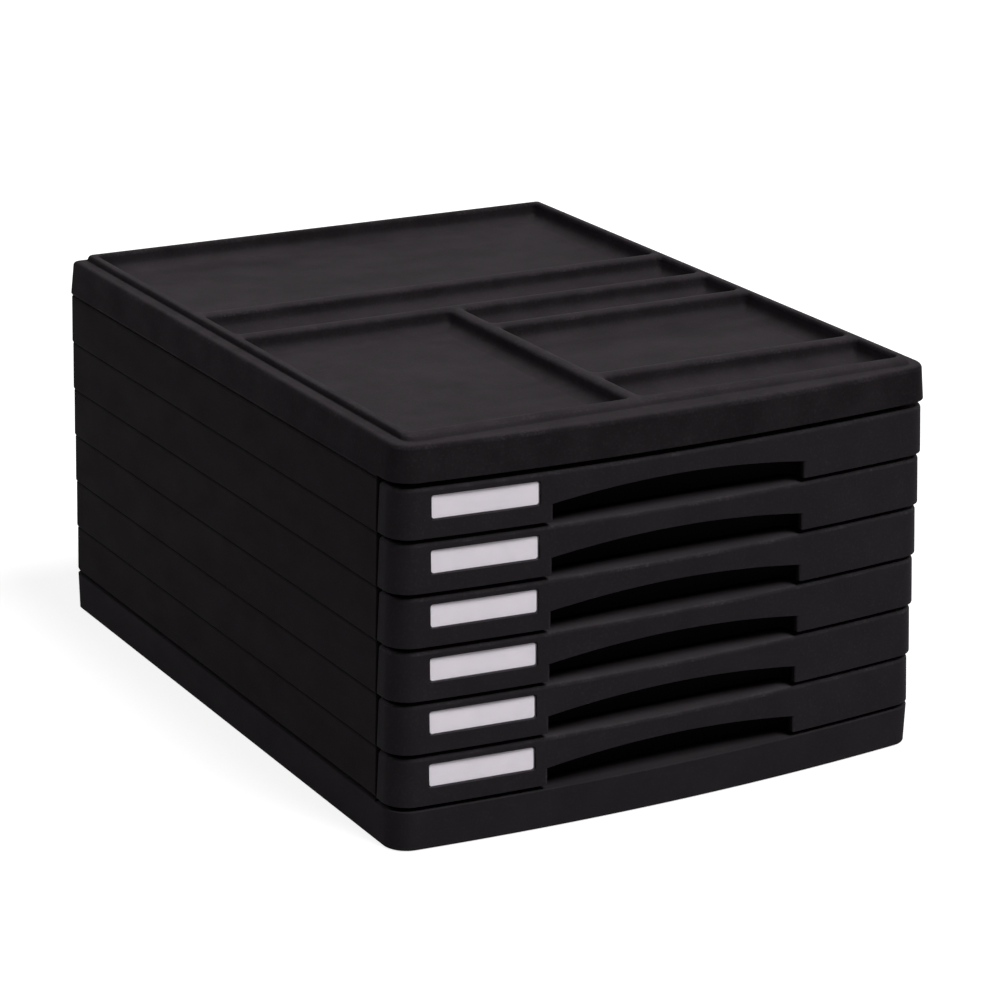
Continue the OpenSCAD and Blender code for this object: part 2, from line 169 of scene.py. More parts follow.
# Finger pulls
PULL_MARGIN = 6.2
PULL_HALF_W = HALF_W - LABEL_MARGIN - LABEL_W - PULL_MARGIN
PULL_END_H = 8.2
PULL_MID_H = 13.4
PULL_STEPS = 32
PULL_WALL = 1.8
PULL_R = 9
PULL_CLEAR = 0.25
PULL_BACK_GAP = 0.1
PULL_SHADE_FROM = 1.5
PULL_SHADE_FULL = 4
PULL_SHADE_END = 15

# Cover
COVER_DRAFT = 1.4
COVER_LIFT = 1.7
COVER_EDGE_R = 2.4
COVER_INSET = 3.4
BEAD_H = 3
GROOVE_INSET = 8
RIM_LAND = 4.1
RIM_FRONT = FRONT_Y + FRONT_BOW + RIM_LAND
REAR_RIM_FOOT = 4.5
RIM_CORNER_R = 7
RIM_INSET = 13
REAR_RIM_INSET = 8.6
DISH_DEPTH = 9.2
DISH_FLOOR = 2
RIDGE_W = 8
SHOULDER_Z = UNIT_H - BEAD_H

# Shades of the moulded plastic, as linear colours
PANEL_BLACK = (0.0138, 0.0118, 0.0129, 1)
PLINTH_BLACK = (0.0172, 0.0148, 0.0172, 1)
FRONT_BLACK = (0.0153, 0.0133, 0.0153, 1)
COVER_BLACK = (0.0107, 0.0089, 0.0104, 1)
RUBBER_BLACK = (0.0120, 0.0120, 0.0120, 1)
# Painted shade: near-black blended in along the joints between the levels and inside the finger pulls
PAINTED_SHADE_BLACK = (0.0012, 0.0010, 0.0011, 1)
# Pale grey of settled dust, which also paints the faces that look up lighter
DUST_AND_TOP_LIGHT_GREY = (0.160, 0.144, 0.155, 1)
CARD_WHITE = (0.77, 0.715, 0.77, 1)


def even_steps(start, end, steps):
    return [start + (end - start) * i / steps for i in range(steps + 1)]


def quarter_turns(steps):
    return even_steps(0, math.pi / 2, steps)


def corner_arc(cx, cy, r, start, end, steps):
    """Points of an arc, angles in degrees from +X, both ends included."""
    turns = [math.radians(angle) for angle in even_steps(start, end, steps)]
    return [(cx + r * math.cos(t), cy + r * math.sin(t)) for t in turns]


def front_corner(inset):
    """Radius, centre height and turn of the front corners of the outline drawn in by inset."""
    r = max(FRONT_CORNER_R - inset, LEAST_R)
    xc = HALF_W - inset - r
    yc = BOW_CY - math.sqrt((BOW_R - inset - r) ** 2 - xc ** 2)
    return r, yc, math.degrees(math.atan2(xc, BOW_CY - yc))


FULL_TURN = front_corner(0)[2]
PLAIN_BOW = even_steps(-FULL_TURN, FULL_TURN, BOW_STEPS)[1:-1]


def seam_to_seam(half, seam_y, yc, r, middle, turn=0):
    """A line in plan from the left seam round a corner, along middle and round to the right seam."""
    return (
        [(-half, seam_y)]
        + corner_arc(r - half, yc, r, 180, 270 - turn, CORNER_STEPS)
        + middle
        + corner_arc(half - r, yc, r, 270 + turn, 360, CORNER_STEPS)
        + [(half, seam_y)]
    )


def front_line(inset, bow=PLAIN_BOW, seam_y=CASING_FRONT_Y):
    """The outline's bowed front, with points at the angles that bow lists."""
    r, yc, turn = front_corner(inset)
    turns = [math.radians(angle * turn / FULL_TURN) for angle in bow]
    middle = [((BOW_R - inset) * math.sin(t), BOW_CY - (BOW_R - inset) * math.cos(t)) for t in turns]
    return seam_to_seam(HALF_W - inset, seam_y, yc, r, middle, turn)


def straight_front(side, y, r):
    """A straight front at y with round corners, and as many points as the bowed one."""
    half = HALF_W - side
    spots = even_steps(r - half, half - r, len(PLAIN_BOW) + 1)[1:-1]
    return seam_to_seam(half, CASING_FRONT_Y, y + r, r, [(x, y) for x in spots])


def round_back(half, ys, y, r):
    """A back at y with round corners, from the right to the left, with points at ys on both sides."""
    return (
        [(half, side_y) for side_y in ys]
        + corner_arc(half - r, y - r, r, 0, 90, REAR_STEPS)
        + corner_arc(r - half, y - r, r, 90, 180, REAR_STEPS)
        + [(-half, side_y) for side_y in reversed(ys)]
    )


def rear_line(inset, back=None, r=None):
    """The outline's sides and back, drawn in by inset. back is the back's own inset."""
    if back is None:
        back = inset
        r = max(REAR_CORNER_R - inset, LEAST_R)
    return round_back(HALF_W - inset, SIDE_YS, UNIT_D / 2 - back, r)


def upright_to_level(a, b, steps):
    """A quarter round from a to b that starts upright and ends level."""
    (x0, z0), (x1, z1) = a, b
    turns = quarter_turns(steps)
    return [(x0 + (x1 - x0) * (1 - math.cos(t)), z0 + (z1 - z0) * math.sin(t)) for t in turns]


def level_to_upright(a, b, steps):
    """A quarter round from a to b that starts level and ends upright."""
    return [(x, z) for z, x in upright_to_level(a[::-1], b[::-1], steps)]


def new_work():
    bm = bmesh.new()
    bm.faces.layers.int.new("curved")
    return bm


def add_grid(bm, columns):
    return [[bm.verts.new(p) for p in column] for column in columns]


def stand_up(bm, lines, heights):
    """Adds plan lines at their heights, one for each row, as station columns of points."""
    return add_grid(bm, [[(x, y, z) for (x, y), z in zip(column, heights)] for column in zip(*lines)])


def add_face(bm, verts, curved=0):
    seen = []
    for v in verts:
        if v not in seen:
            seen.append(v)
    if len(seen) < 3:
        return None
    face = bm.faces.new(seen)
    if curved:
        face[bm.faces.layers.int["curved"]] = curved
    return face


def add_band(bm, first, second, closed=False, curved=0, skip=()):
    """Faces between two rows of the same length."""
    count = len(first)
    for i in range(count if closed else count - 1):
        j = (i + 1) % count
        if i not in skip:
            add_face(bm, [first[i], first[j], second[j], second[i]], curved)


def row_of(grid, row):
    return [column[row] for column in grid]


def add_bands(bm, grid, left_out=None, closed=False, curved=(), skips=None):
    """Bands from each row of a grid to the next, and from the last row back to the first."""
    rows = len(grid[0])
    for r in range(rows):
        if r != left_out:
            skip = skips.get(r, ()) if skips else ()
            add_band(bm, row_of(grid, r), row_of(grid, (r + 1) % rows), closed, int(r in curved), skip)


def add_block(bm, x0, x1, y0, y1, z0, z1):
    """A small rectangular block, eased later with the rest of the piece."""
    corners = ((x0, y0), (x1, y0), (x1, y1), (x0, y1))
    low, high = [[bm.verts.new((x, y, z)) for x, y in corners] for z in (z0, z1)]
    add_face(bm, low[::-1])
    add_face(bm, high)
    add_band(bm, low, high, closed=True)


def add_pair(bm, x0, x1, y0, y1, z0, z1):
    add_block(bm, x0, x1, y0, y1, z0, z1)
    add_block(bm, -x1, -x0, y0, y1, z0, z1)


def round_box(x0, x1, y0, y1, r, steps):
    centres = ((x1 - r, y0 + r), (x1 - r, y1 - r), (x0 + r, y1 - r), (x0 + r, y0 + r))
    starts = (-90, 0, 90, 180)
    arcs = [corner_arc(x, y, r, start, start + 90, steps) for (x, y), start in zip(centres, starts)]
    return sum(arcs, [])


def add_rings(bm, rings, curved=()):
    """Closed rings, each (points, z), joined one to the next. Returns the rows of points."""
    rows = [[bm.verts.new((x, y, z)) for x, y in points] for points, z in rings]
    for i in range(len(rows) - 1):
        add_band(bm, rows[i], rows[i + 1], closed=True, curved=int(i in curved))
    return rows


def node_group(name, kind, inputs, outputs):
    """A node group, and its two ends. inputs and outputs give each socket's kind by its name."""
    group = bpy.data.node_groups.new(name, kind)
    for side, sockets in (("INPUT", inputs), ("OUTPUT", outputs)):
        for label, socket in sockets.items():
            group.interface.new_socket(label, in_out=side, socket_type="NodeSocket" + socket)
    return group, group.nodes.new("NodeGroupInput").outputs, group.nodes.new("NodeGroupOutput").inputs


def copies_tree():
    """Geometry nodes that repeat one part on a grid and give the copies a material."""
    counts = {"Columns": "Int", "Rows": "Int", "Width": "Float", "Depth": "Float"}
    tree, given, result = node_group(
        "Copies on a grid", "GeometryNodeTree", {"Part": "Geometry", **counts, "Finish": "Material"},
        {"Parts": "Geometry"},
    )
    kinds = ("MeshGrid", "InstanceOnPoints", "RealizeInstances", "SetMaterial")
    grid, copies, real, finish = [tree.nodes.new("GeometryNode" + kind) for kind in kinds]
    for name, socket in zip(counts, ("Vertices X", "Vertices Y", "Size X", "Size Y")):
        tree.links.new(given[name], grid.inputs[socket])
    for source, target in (
        (grid.outputs["Mesh"], copies.inputs["Points"]),
        (given["Part"], copies.inputs["Instance"]),
        (copies.outputs["Instances"], real.inputs["Geometry"]),
        (real.outputs["Geometry"], finish.inputs["Geometry"]),
        (given["Finish"], finish.inputs["Material"]),
        (finish.outputs["Geometry"], result["Parts"]),
    ):
        tree.links.new(source, target)
    return tree


def add_copies(bm, part, columns, rows, width, depth, finish):
    """Repeats the small mesh in part on a grid centred on its own place, and adds the copies to bm."""
    mesh = bpy.data.meshes.new("one of several")
    part.to_mesh(mesh)
    part.free()
    carrier = new_object("one of several", mesh)
    repeat = carrier.modifiers.new("Copies", "NODES")
    tree = bpy.data.node_groups.get("Copies on a grid") or copies_tree()
    repeat.node_group = tree
    values = {"Columns": columns, "Rows": rows, "Width": width, "Depth": depth, "Finish": finish}
    for socket in tree.interface.items_tree:
        if socket.name in values and socket.in_out == "INPUT":
            repeat[socket.identifier] = values[socket.name]
    settle(carrier)
    made = carrier.data
    bm.from_mesh(made)
    bpy.data.objects.remove(carrier)
    bpy.data.meshes.remove(made)


def new_object(name, data):
    made = bpy.data.objects.new(name, data)
    bpy.context.scene.collection.objects.link(made)
    return made


def settle(piece):
    """Replaces a piece's mesh by what its modifiers make of it."""
    before = piece.data
    bpy.context.view_layer.update()
    graph = bpy.context.evaluated_depsgraph_get()
    piece.data = bpy.data.meshes.new_from_object(
        piece.evaluated_get(graph), preserve_all_data_layers=True, depsgraph=graph
    )
    piece.modifiers.clear()
    bpy.data.meshes.remove(before)


def finish_piece(name, bm, finish, body, nodes, ease=EDGE_EASE, fine=None):
    """Rounds the sharp outer edges, smooths the shading, marks the eased edges for the wear and painted
    glints in the materials, attaches the piece to its body and hides the parts it replaces.
    """
    bmesh.ops.remove_doubles(bm, verts=bm.verts, dist=SAME_SPOT)
    bmesh.ops.recalc_face_normals(bm, faces=bm.faces)
    for face in bm.faces:
        face.smooth = True
        face.material_index = 0
    weight = bm.edges.layers.float.new("bevel_weight_edge")
    for edge in bm.edges:
        if len(edge.link_faces) == 2 and edge.is_convex and edge.calc_face_angle() > SHARP:
            edge[weight] = fine(edge) if fine else 1
    mesh = bpy.data.meshes.new(name)
    bm.to_mesh(mesh)
    bm.free()
    mesh.transform(Matrix.Scale(MM, 4))
    mesh.materials.append(finish)
    mesh.materials.append(finish)
    piece = new_object(name, mesh)
    rounding = piece.modifiers.new("Eased edges", "BEVEL")
    rounding.width = ease * MM
    rounding.segments = 3
    rounding.limit_method = "WEIGHT"
    rounding.use_clamp_overlap = False
    rounding.material = 1
    settle(piece)
    mark_edges(piece.data)
    piece.data.set_sharp_from_angle(angle=CREASE)
    piece.modifiers.new("Even shading", "WEIGHTED_NORMAL").keep_sharp = True
    settle(piece)
    piece.data.name = name
    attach(piece, body)
    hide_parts(*nodes)


def mark_edges(mesh):
    """Stores where the eased and curved edges are, for the wear and painted glints in the materials."""
    curved = [0] * len(mesh.polygons)
    mesh.attributes["curved"].data.foreach_get("value", curved)
    eased = [0] * len(mesh.polygons)
    mesh.polygons.foreach_get("material_index", eased)
    edge = mesh.attributes.new("edge", "FLOAT", "FACE")
    edge.data.foreach_set("value", [1.0 if c or e else 0.0 for c, e in zip(curved, eased)])
    for name in ("curved", "bevel_weight_edge"):
        mesh.attributes.remove(mesh.attributes[name])
    mesh.polygons.foreach_set("material_index", [0] * len(mesh.polygons))
    mesh.materials.pop()


# Shared shader effects
def plug(tree, value, socket):
    """Links an output to a socket, or sets the socket to a plain value."""
    if isinstance(value, bpy.types.NodeSocket):
        tree.links.new(value, socket)
    else:
        socket.default_value = value


def shader_group(name, colours, values, outputs):
    """A shader group with inputs for colours and for plain values, by their names."""
    inputs = {**dict.fromkeys(colours, "Color"), **dict.fromkeys(values, "Float")}
    return node_group(name, "ShaderNodeTree", inputs, outputs)


def object_place(tree):
    return tree.nodes.new("ShaderNodeTexCoord").outputs["Object"]


def stretched(tree, place, scale):
    node = tree.nodes.new("ShaderNodeMapping")
    node.inputs["Scale"].default_value = scale
    tree.links.new(place, node.inputs["Vector"])
    return node.outputs["Vector"]


def parts_of(tree, vector):
    """The X, Y and Z parts of a vector."""
    node = tree.nodes.new("ShaderNodeSeparateXYZ")
    tree.links.new(vector, node.inputs[0])
    return node.outputs


def noise(tree, place, scale, detail, roughness):
    node = tree.nodes.new("ShaderNodeTexNoise")
    tree.links.new(place, node.inputs["Vector"])
    plug(tree, scale, node.inputs["Scale"])
    node.inputs["Detail"].default_value = detail
    node.inputs["Roughness"].default_value = roughness
    return node.outputs["Fac"]


def math_node(tree, operation, *values):
    node = tree.nodes.new("ShaderNodeMath")
    node.operation = operation
    for value, socket in zip(values, node.inputs):
        plug(tree, value, socket)
    return node.outputs[0]


def times(tree, first, *others):
    for other in others:
        first = math_node(tree, "MULTIPLY", first, other)
    return first


def plus(tree, first, *others):
    for other in others:
        first = math_node(tree, "ADD", first, other)
    return first


def ramp(tree, value, low, high, out_low=0.0, out_high=1.0):
    node = tree.nodes.new("ShaderNodeMapRange")
    node.interpolation_type = "SMOOTHSTEP"
    tree.links.new(value, node.inputs["Value"])
    limits = {"From Min": low, "From Max": high, "To Min": out_low, "To Max": out_high}
    for name, limit in limits.items():
        node.inputs[name].default_value = limit
    return node.outputs["Result"]


def blend_colour(tree, factor, first, second):
    node = tree.nodes.new("ShaderNodeMix")
    node.data_type = "RGBA"
    for value, socket in ((factor, node.inputs[0]), (first, node.inputs[6]), (second, node.inputs[7])):
        plug(tree, value, socket)
    return node.outputs[2]


def grain_group():
    """Height of a fine spark-eroded grain with faint waves from moulding."""
    values = ("Grain size", "Grain", "Waves")
    group, given, result = shader_group("Moulded grain", (), values, {"Height": "Float"})
    place = object_place(group)
    grain = noise(group, place, math_node(group, "DIVIDE", 1.0, given["Grain size"]), 3, 0.6)
    waves = noise(group, place, 22, 2, 0.45)
    height = plus(group, times(group, grain, given["Grain"]), times(group, waves, given["Waves"]))
    group.links.new(height, result["Height"])
    return group


# Size of the specks that break the worn edges up into painted glints
GLINT_SPECK_SIZE = 0.0012


def wear_and_glint_group():
    """Mask of the polished outer edges, broken up along their length, which also paints highlights and
    glints on them.
    """
    group, given, result = shader_group("Edge wear and painted glints", (), ("Patch size", "Amount"), {"Mask": "Float"})
    place = object_place(group)
    patches = noise(group, place, math_node(group, "DIVIDE", 1.0, given["Patch size"]), 4, 0.6)
    specks = noise(group, place, math_node(group, "DIVIDE", 1.0, GLINT_SPECK_SIZE), 2, 0.6)
    edge = group.nodes.new("ShaderNodeAttribute")
    edge.attribute_name = "edge"
    broken = ramp(group, patches, 0.4, 0.66, 0.12, 1.0)
    speckled = ramp(group, specks, 0.45, 0.68, 0.2, 1.0)
    worn_and_glinting = times(group, edge.outputs["Fac"], broken, speckled, given["Amount"])
    group.links.new(worn_and_glinting, result["Mask"])
    return group


def tone_group():
    """Black plastic: cloudy shade, fine flecks, handling marks, settled dust that also paints the tops
    lighter, worn edges with painted glints, and painted shade along the joints.
    """
    group, given, result = shader_group(
        "Plastic tone", ("Shade", "Pale shade"), ("Wear", "Dust", "Clouds", "Roughness", "Joint dirt"),
        {"Color": "Color", "Roughness": "Float"},
    )
    place = object_place(group)
    clouds = noise(group, place, 42, 4, 0.6)
    flecks = noise(group, place, 760, 2, 0.7)
    rubs = noise(group, stretched(group, place, (0.35, 1.0, 2.4)), 34, 5, 0.62)
    cloudy = times(group, ramp(group, clouds, 0.3, 0.72), given["Clouds"])
    pale = plus(group, cloudy, ramp(group, flecks, 0.5, 0.72, 0.0, 0.13))
    body = blend_colour(group, pale, given["Shade"], given["Pale shade"])
    facing = parts_of(group, group.nodes.new("ShaderNodeNewGeometry").outputs["Normal"])
    level = ramp(group, facing["Z"], 0.55, 1.0)
    # Settled dust on faces that look up, which also paints the tops lighter as light from above would
    dust_and_top_light_mask = times(group, level, ramp(group, rubs, 0.3, 0.75, 0.6, 1.1), given["Dust"])
    with_dust_and_top_light = blend_colour(group, dust_and_top_light_mask, body, DUST_AND_TOP_LIGHT_GREY)
    # Worn edges paled towards the pale shade, which also paints highlights and glints along them
    worn_and_glinting = blend_colour(group, given["Wear"], with_dust_and_top_light, given["Pale shade"])
    # Painted shade: the colour turns towards near-black within a millimetre or two of each joint between
    # the levels, where the grooves fall into shade
    above = math_node(group, "SUBTRACT", parts_of(group, place)["Z"], PLINTH_TOP * MM)
    from_joint = math_node(group, "PINGPONG", above, PITCH * MM / 2)
    near = ramp(group, from_joint, PAINTED_JOINT_SHADE_FULL * MM, PAINTED_JOINT_SHADE_END * MM, 1.0, 0.0)
    colour = blend_colour(group, times(group, near, given["Joint dirt"]), worn_and_glinting, PAINTED_SHADE_BLACK)
    group.links.new(colour, result["Color"])
    handled = ramp(group, rubs, 0.35, 0.7, -0.05, 0.06)
    polish = times(group, given["Wear"], -0.16)
    rough = plus(group, given["Roughness"], handled, times(group, dust_and_top_light_mask, 0.3), polish)
    group.links.new(rough, result["Roughness"])
    return group


def pull_group():
    """Mask of the walls and ceiling inside the finger pulls, which hardly any light reaches."""
    group, given, result = shader_group("Finger pull shade", (), ("Amount",), {"Mask": "Float"})
    spot = parts_of(group, object_place(group))
    facing = parts_of(group, group.nodes.new("ShaderNodeTexCoord").outputs["Normal"])
    across = math_node(group, "ABSOLUTE", spot["X"])
    behind = math_node(group, "SUBTRACT", spot["Y"], BOW_CY * MM)
    square = plus(group, times(group, across, across), times(group, behind, behind))
    depth = math_node(group, "SUBTRACT", BOW_R * MM, math_node(group, "SQRT", square))
    mask = ramp(group, depth, PULL_SHADE_FROM * MM, PULL_SHADE_FULL * MM)
    limits = (
        (depth, PULL_SHADE_END * MM, (PULL_SHADE_END + 2) * MM),
        (across, PULL_HALF_W * MM, (PULL_HALF_W + 1) * MM),
        (facing["Z"], 0.2, 0.6),
        (facing["Y"], 0.1, 0.5),
    )
    for value, low, high in limits:
        mask = times(group, mask, ramp(group, value, low, high, 1.0, 0.0))
    group.links.new(times(group, mask, given["Amount"]), result["Mask"])
    return group


GRAIN = grain_group()
WEAR_AND_GLINTS = wear_and_glint_group()
TONE = tone_group()
PULL = pull_group()


def add_effect(tree, group, **values):
    """A shared effect in a material, with its inputs plugged. Returns its outputs."""
    node = tree.nodes.new("ShaderNodeGroup")
    node.node_tree = group
    for name, value in values.items():
        plug(tree, value, node.inputs[name.replace("_", " ")])
    return node.outputs


def new_material(name, specular):
    material = bpy.data.materials.new(name)
    material.use_nodes = True
    shader = material.node_tree.nodes["Principled BSDF"]
    shader.inputs["Specular IOR Level"].default_value = specular
    return material, material.node_tree, shader


def cover_surface(tree, shader, colour, roughness, height, bump_depth):
    """Plugs a surface's colour, roughness and bump. bump_depth is in metres."""
    bump = tree.nodes.new("ShaderNodeBump")
    bump.inputs["Strength"].default_value = 1.0
    bump.inputs["Distance"].default_value = bump_depth
    tree.links.new(height, bump.inputs["Height"])
    normal = bump.outputs["Normal"]
    for value, name in ((normal, "Normal"), (colour, "Base Color"), (roughness, "Roughness")):
        tree.links.new(value, shader.inputs[name])


def plastic(
    name, shade, pale, roughness=0.5, specular=0.003, wear_and_glints=0.25, dust_and_top_light=0.08, clouds=0.1,
    painted_joint_shade=0.0, pull_shade=0.0, patch_size=0.014, grain=(0.0006, 1.0, 6.0), bump_depth=0.00006,
):
    """Moulded plastic or rubber. grain is its size in metres, its height and that of its waves."""
    material, tree, shader = new_material(name, specular)
    worn_and_glinting = add_effect(tree, WEAR_AND_GLINTS, Patch_size=patch_size, Amount=wear_and_glints)["Mask"]
    tone = add_effect(
        tree, TONE, Shade=shade, Pale_shade=pale, Wear=worn_and_glinting, Dust=dust_and_top_light, Clouds=clouds,
        Roughness=roughness, Joint_dirt=painted_joint_shade,
    )
    colour = tone["Color"]
    # Painted shade: the walls and ceiling inside the finger pulls are blended towards near-black
    if pull_shade:
        mask = add_effect(tree, PULL, Amount=pull_shade)["Mask"]
        colour = blend_colour(tree, mask, colour, PAINTED_SHADE_BLACK)
    size, fine, waves = grain
    height = add_effect(tree, GRAIN, Grain_size=size, Grain=fine, Waves=waves)["Height"]
    cover_surface(tree, shader, colour, tone["Roughness"], height, bump_depth)
    return material


def card_paper():
    material, tree, shader = new_material("Label card paper", 0.2)
    place = object_place(tree)
    fibres = noise(tree, stretched(tree, place, (0.3, 1.0, 1.0)), 900, 4, 0.65)
    cast = noise(tree, place, 60, 2, 0.5)
    tint = blend_colour(tree, ramp(tree, cast, 0.3, 0.7), CARD_WHITE, (0.74, 0.69, 0.75, 1))
    colour = blend_colour(tree, ramp(tree, fibres, 0.55, 0.8, 0.0, 0.12), tint, (0.60, 0.55, 0.60, 1))
    cover_surface(tree, shader, colour, ramp(tree, fibres, 0.2, 0.8, 0.72, 0.86), fibres, 0.00003)
    return material


def clear_window():
    material, tree, shader = new_material("Clear label window", 0.5)
    place = object_place(tree)
    smears = noise(tree, place, 70, 4, 0.6)
    ripples = noise(tree, place, 30, 1, 0.4)
    tint = blend_colour(tree, smears, (0.80, 0.76, 0.82, 1), (0.86, 0.82, 0.86, 1))
    tree.links.new(ramp(tree, smears, 0.35, 0.75, 0.03, 0.06), shader.inputs["Alpha"])
    cover_surface(tree, shader, tint, ramp(tree, smears, 0.3, 0.7, 0.12, 0.24), ripples, 0.0001)
    return material


CASING = plastic(
    "Casing plastic", PANEL_BLACK, (0.036, 0.032, 0.036, 1), roughness=0.58, wear_and_glints=0.2, clouds=0.08,
    painted_joint_shade=0.42,
)
FRONT = plastic(
    "Drawer plastic", FRONT_BLACK, (0.050, 0.044, 0.050, 1), specular=0.006, wear_and_glints=0.5, dust_and_top_light=0.1,
    clouds=0.07, pull_shade=0.9,
)
PLINTH = plastic(
    "Plinth plastic", PLINTH_BLACK, (0.044, 0.038, 0.044, 1), roughness=0.55, painted_joint_shade=0.6
)
COVER = plastic(
    "Organiser plastic", COVER_BLACK, (0.046, 0.040, 0.045, 1), specular=0.0035, wear_and_glints=0.4, dust_and_top_light=0.094,
    clouds=0.14, painted_joint_shade=0.75,
)
RUBBER = plastic(
    "Foot rubber", RUBBER_BLACK, (0.05, 0.046, 0.05, 1), roughness=0.78, specular=0.2, wear_and_glints=0.5,
    dust_and_top_light=0.05, patch_size=0.004, grain=(0.0009, 1.4, 2.0), bump_depth=0.00008,
)
CARD = card_paper()
WINDOW = clear_window()


# Tabs, stops and runner ribs that the mouldings share
RUNNER_W = 3
RUNNER_H = 0.8
RUNNER_ROOT = 0.4
RUNNER_X = 120
RUNNER_END = 10
RUNNER_Y0 = CASING_FRONT_Y + RUNNER_END
RUNNER_Y1 = BAY_BACK_Y - RUNNER_END
TAB_FROM_FRONT = 45
TAB_FROM_BACK = 50
TAB_YS = (CASING_FRONT_Y + TAB_FROM_FRONT, UNIT_D / 2 - TAB_FROM_BACK)
TAB_L = 16
TAB_T = 1.3
TAB_DEPTH = 2.4
TAB_ROOT = 1
TAB_ROOM = 0.15
TAB_END_ROOM = 0.3
PAD_L = 20
PAD_H = 5
PAD_T = 2
PAD_X = BAY_HALF_W - PAD_T
TAB_X0 = PAD_X + TAB_ROOM
TAB_X1 = TAB_X0 + TAB_T
SLOT_X0 = PAD_X - TAB_ROOM
SLOT_X1 = SLOT_X0 + TAB_T + 4 * TAB_ROOM
SLOT_HALF_L = TAB_L / 2 + TAB_END_ROOM
STOP_Y0 = CASING_FRONT_Y + 10
STOP_L = 6
STOP_Z0 = 8
STOP_H = 8
STOP_ROOM = 0.6
STOP_TOUCH = 0.3
TRAVEL = 250
LUG_Y = STOP_Y0 + STOP_L + TRAVEL + STOP_TOUCH
LUG_REACH = 2.2
LUG_ROOT = 0.9
DECK_INSET = 6
SIDE_YS = [CASING_FRONT_Y]
for tab_y in TAB_YS:
    SIDE_YS += [tab_y - SLOT_HALF_L, tab_y + SLOT_HALF_L]


def add_runners(bm, z, finish):
    """The two ribs on a deck at height z that the tray above slides on."""
    rib = bmesh.new()
    add_block(rib, -RUNNER_W / 2, RUNNER_W / 2, RUNNER_Y0, RUNNER_Y1, z - RUNNER_ROOT, z + RUNNER_H)
    add_copies(bm, rib, 2, 1, 2 * RUNNER_X, 0, finish)


def add_tabs(bm, z):
    for y in TAB_YS:
        add_pair(bm, PAD_X, HALF_W - WALL_OVERLAP, y - PAD_L / 2, y + PAD_L / 2, z, z + PAD_H)
        add_pair(bm, TAB_X0, TAB_X1, y - TAB_L / 2, y + TAB_L / 2, z - TAB_DEPTH, z + TAB_ROOT)


def add_stops(bm, z, x0, x1, y):
    """A boss on each side, from y backwards, on the level that starts at height z."""
    add_pair(bm, x0, x1, y, y + STOP_L, z + STOP_Z0, z + STOP_Z0 + STOP_H)


def add_deck(bm, grid, top, bottom):
    """Walls the slots for the tabs, between rows top and bottom. Returns the stations to skip there."""
    last = len(grid) - 1
    starts = []
    for n in range(len(TAB_YS)):
        starts += [1 + 2 * n, last - 2 - 2 * n]
    for a in starts:
        b = a + 1
        add_face(bm, [grid[a][top], grid[b][top], grid[b][bottom], grid[a][bottom]])
        add_face(bm, [grid[a][top + 1], grid[b][top + 1], grid[b][bottom - 1], grid[a][bottom - 1]])
        for s in (a, b):
            add_face(bm, [grid[s][top], grid[s][top + 1], grid[s][bottom - 1], grid[s][bottom]])
    return starts


OUTER_BAND = 1.3


def on_joint(edge):
    """Slight rounding for the outer edges along the joints between the levels, more for the rest."""
    middle = (edge.verts[0].co + edge.verts[1].co) / 2
    upright = abs(edge.verts[0].co.z - edge.verts[1].co.z) > 1
    outer = abs(middle.x) > HALF_W - OUTER_BAND or middle.y > UNIT_D / 2 - OUTER_BAND
    return JOINT_EASE / EDGE_EASE if outer and not upright else 1


def drawn_in_foot(z, inset, height):
    """(inset, height) pairs of a slope that draws a moulding's foot in, fading out upwards."""
    shares = even_steps(0, 1, FOOT_STEPS)
    return [(inset * (1 - t) ** FOOT_FADE, z + height * t) for t in shares]


def level_frame(k):
    """One casing level: two sides and a back that lean in a little, under a deck."""
    z = PLINTH_TOP + (LEVELS - k) * PITCH
    top = z + PITCH
    share = LOWEST_JOINT if k == LEVELS else 1
    slit_top = z + SLIT_H if k == LEVELS else z
    foot = drawn_in_foot(slit_top, JOINT_INSET * share, JOINT_H * share)
    if k == LEVELS:
        slit = JOINT_INSET * share + SLIT_D
        foot = [(slit, z), (slit, slit_top)] + foot
    lead = len(foot)
    insets = [p[0] for p in foot] + [FRAME_DRAFT, HALF_W - SLOT_X1, HALF_W - SLOT_X0, DECK_INSET]
    insets += insets[:lead:-1] + [FRAME_INSET, FRAME_INSET]
    heights = [p[1] for p in foot] + [top] * 4 + [top - DECK_T] * 4 + [z]
    bm = new_work()
    grid = stand_up(bm, [rear_line(inset) for inset in insets], heights)
    slots = add_deck(bm, grid, lead + 1, lead + 6)
    deck = lead + 3
    add_bands(bm, grid, left_out=deck, skips={lead + 1: slots, lead + 5: slots})
    for row in (deck, deck + 1):
        add_face(bm, row_of(grid, row))
    add_face(bm, [grid[0][deck], grid[-1][deck], grid[-1][deck + 1], grid[0][deck + 1]])
    add_face(bm, grid[0])
    add_face(bm, grid[-1])
    add_stops(bm, z, TRAY_HALF_W + STOP_ROOM, HALF_W - WALL_OVERLAP, STOP_Y0)
    add_tabs(bm, z)
    add_runners(bm, top, CASING)
    finish_piece(
        "casing_level_%d" % k, bm, CASING, "casing", ["level_frame_%d" % k],
        fine=on_joint,
    )


# Feet, and the plinth's ribs and bosses
TURN_STEPS = 40
FOOT_R = 8
FOOT_T = 3
FOOT_X = HALF_W - 23
FOOT_FROM_FRONT = 36
FOOT_FROM_BACK = 26
FOOT_MIDDLE_Y = (FOOT_FROM_FRONT - FOOT_FROM_BACK) / 2
FOOT_SPREAD_Y = UNIT_D - FOOT_FROM_FRONT - FOOT_FROM_BACK
BOSS_R = 10
BOSS_ROOM = 0.2
RIB_T = 1.5
RIB_SPREAD = 120


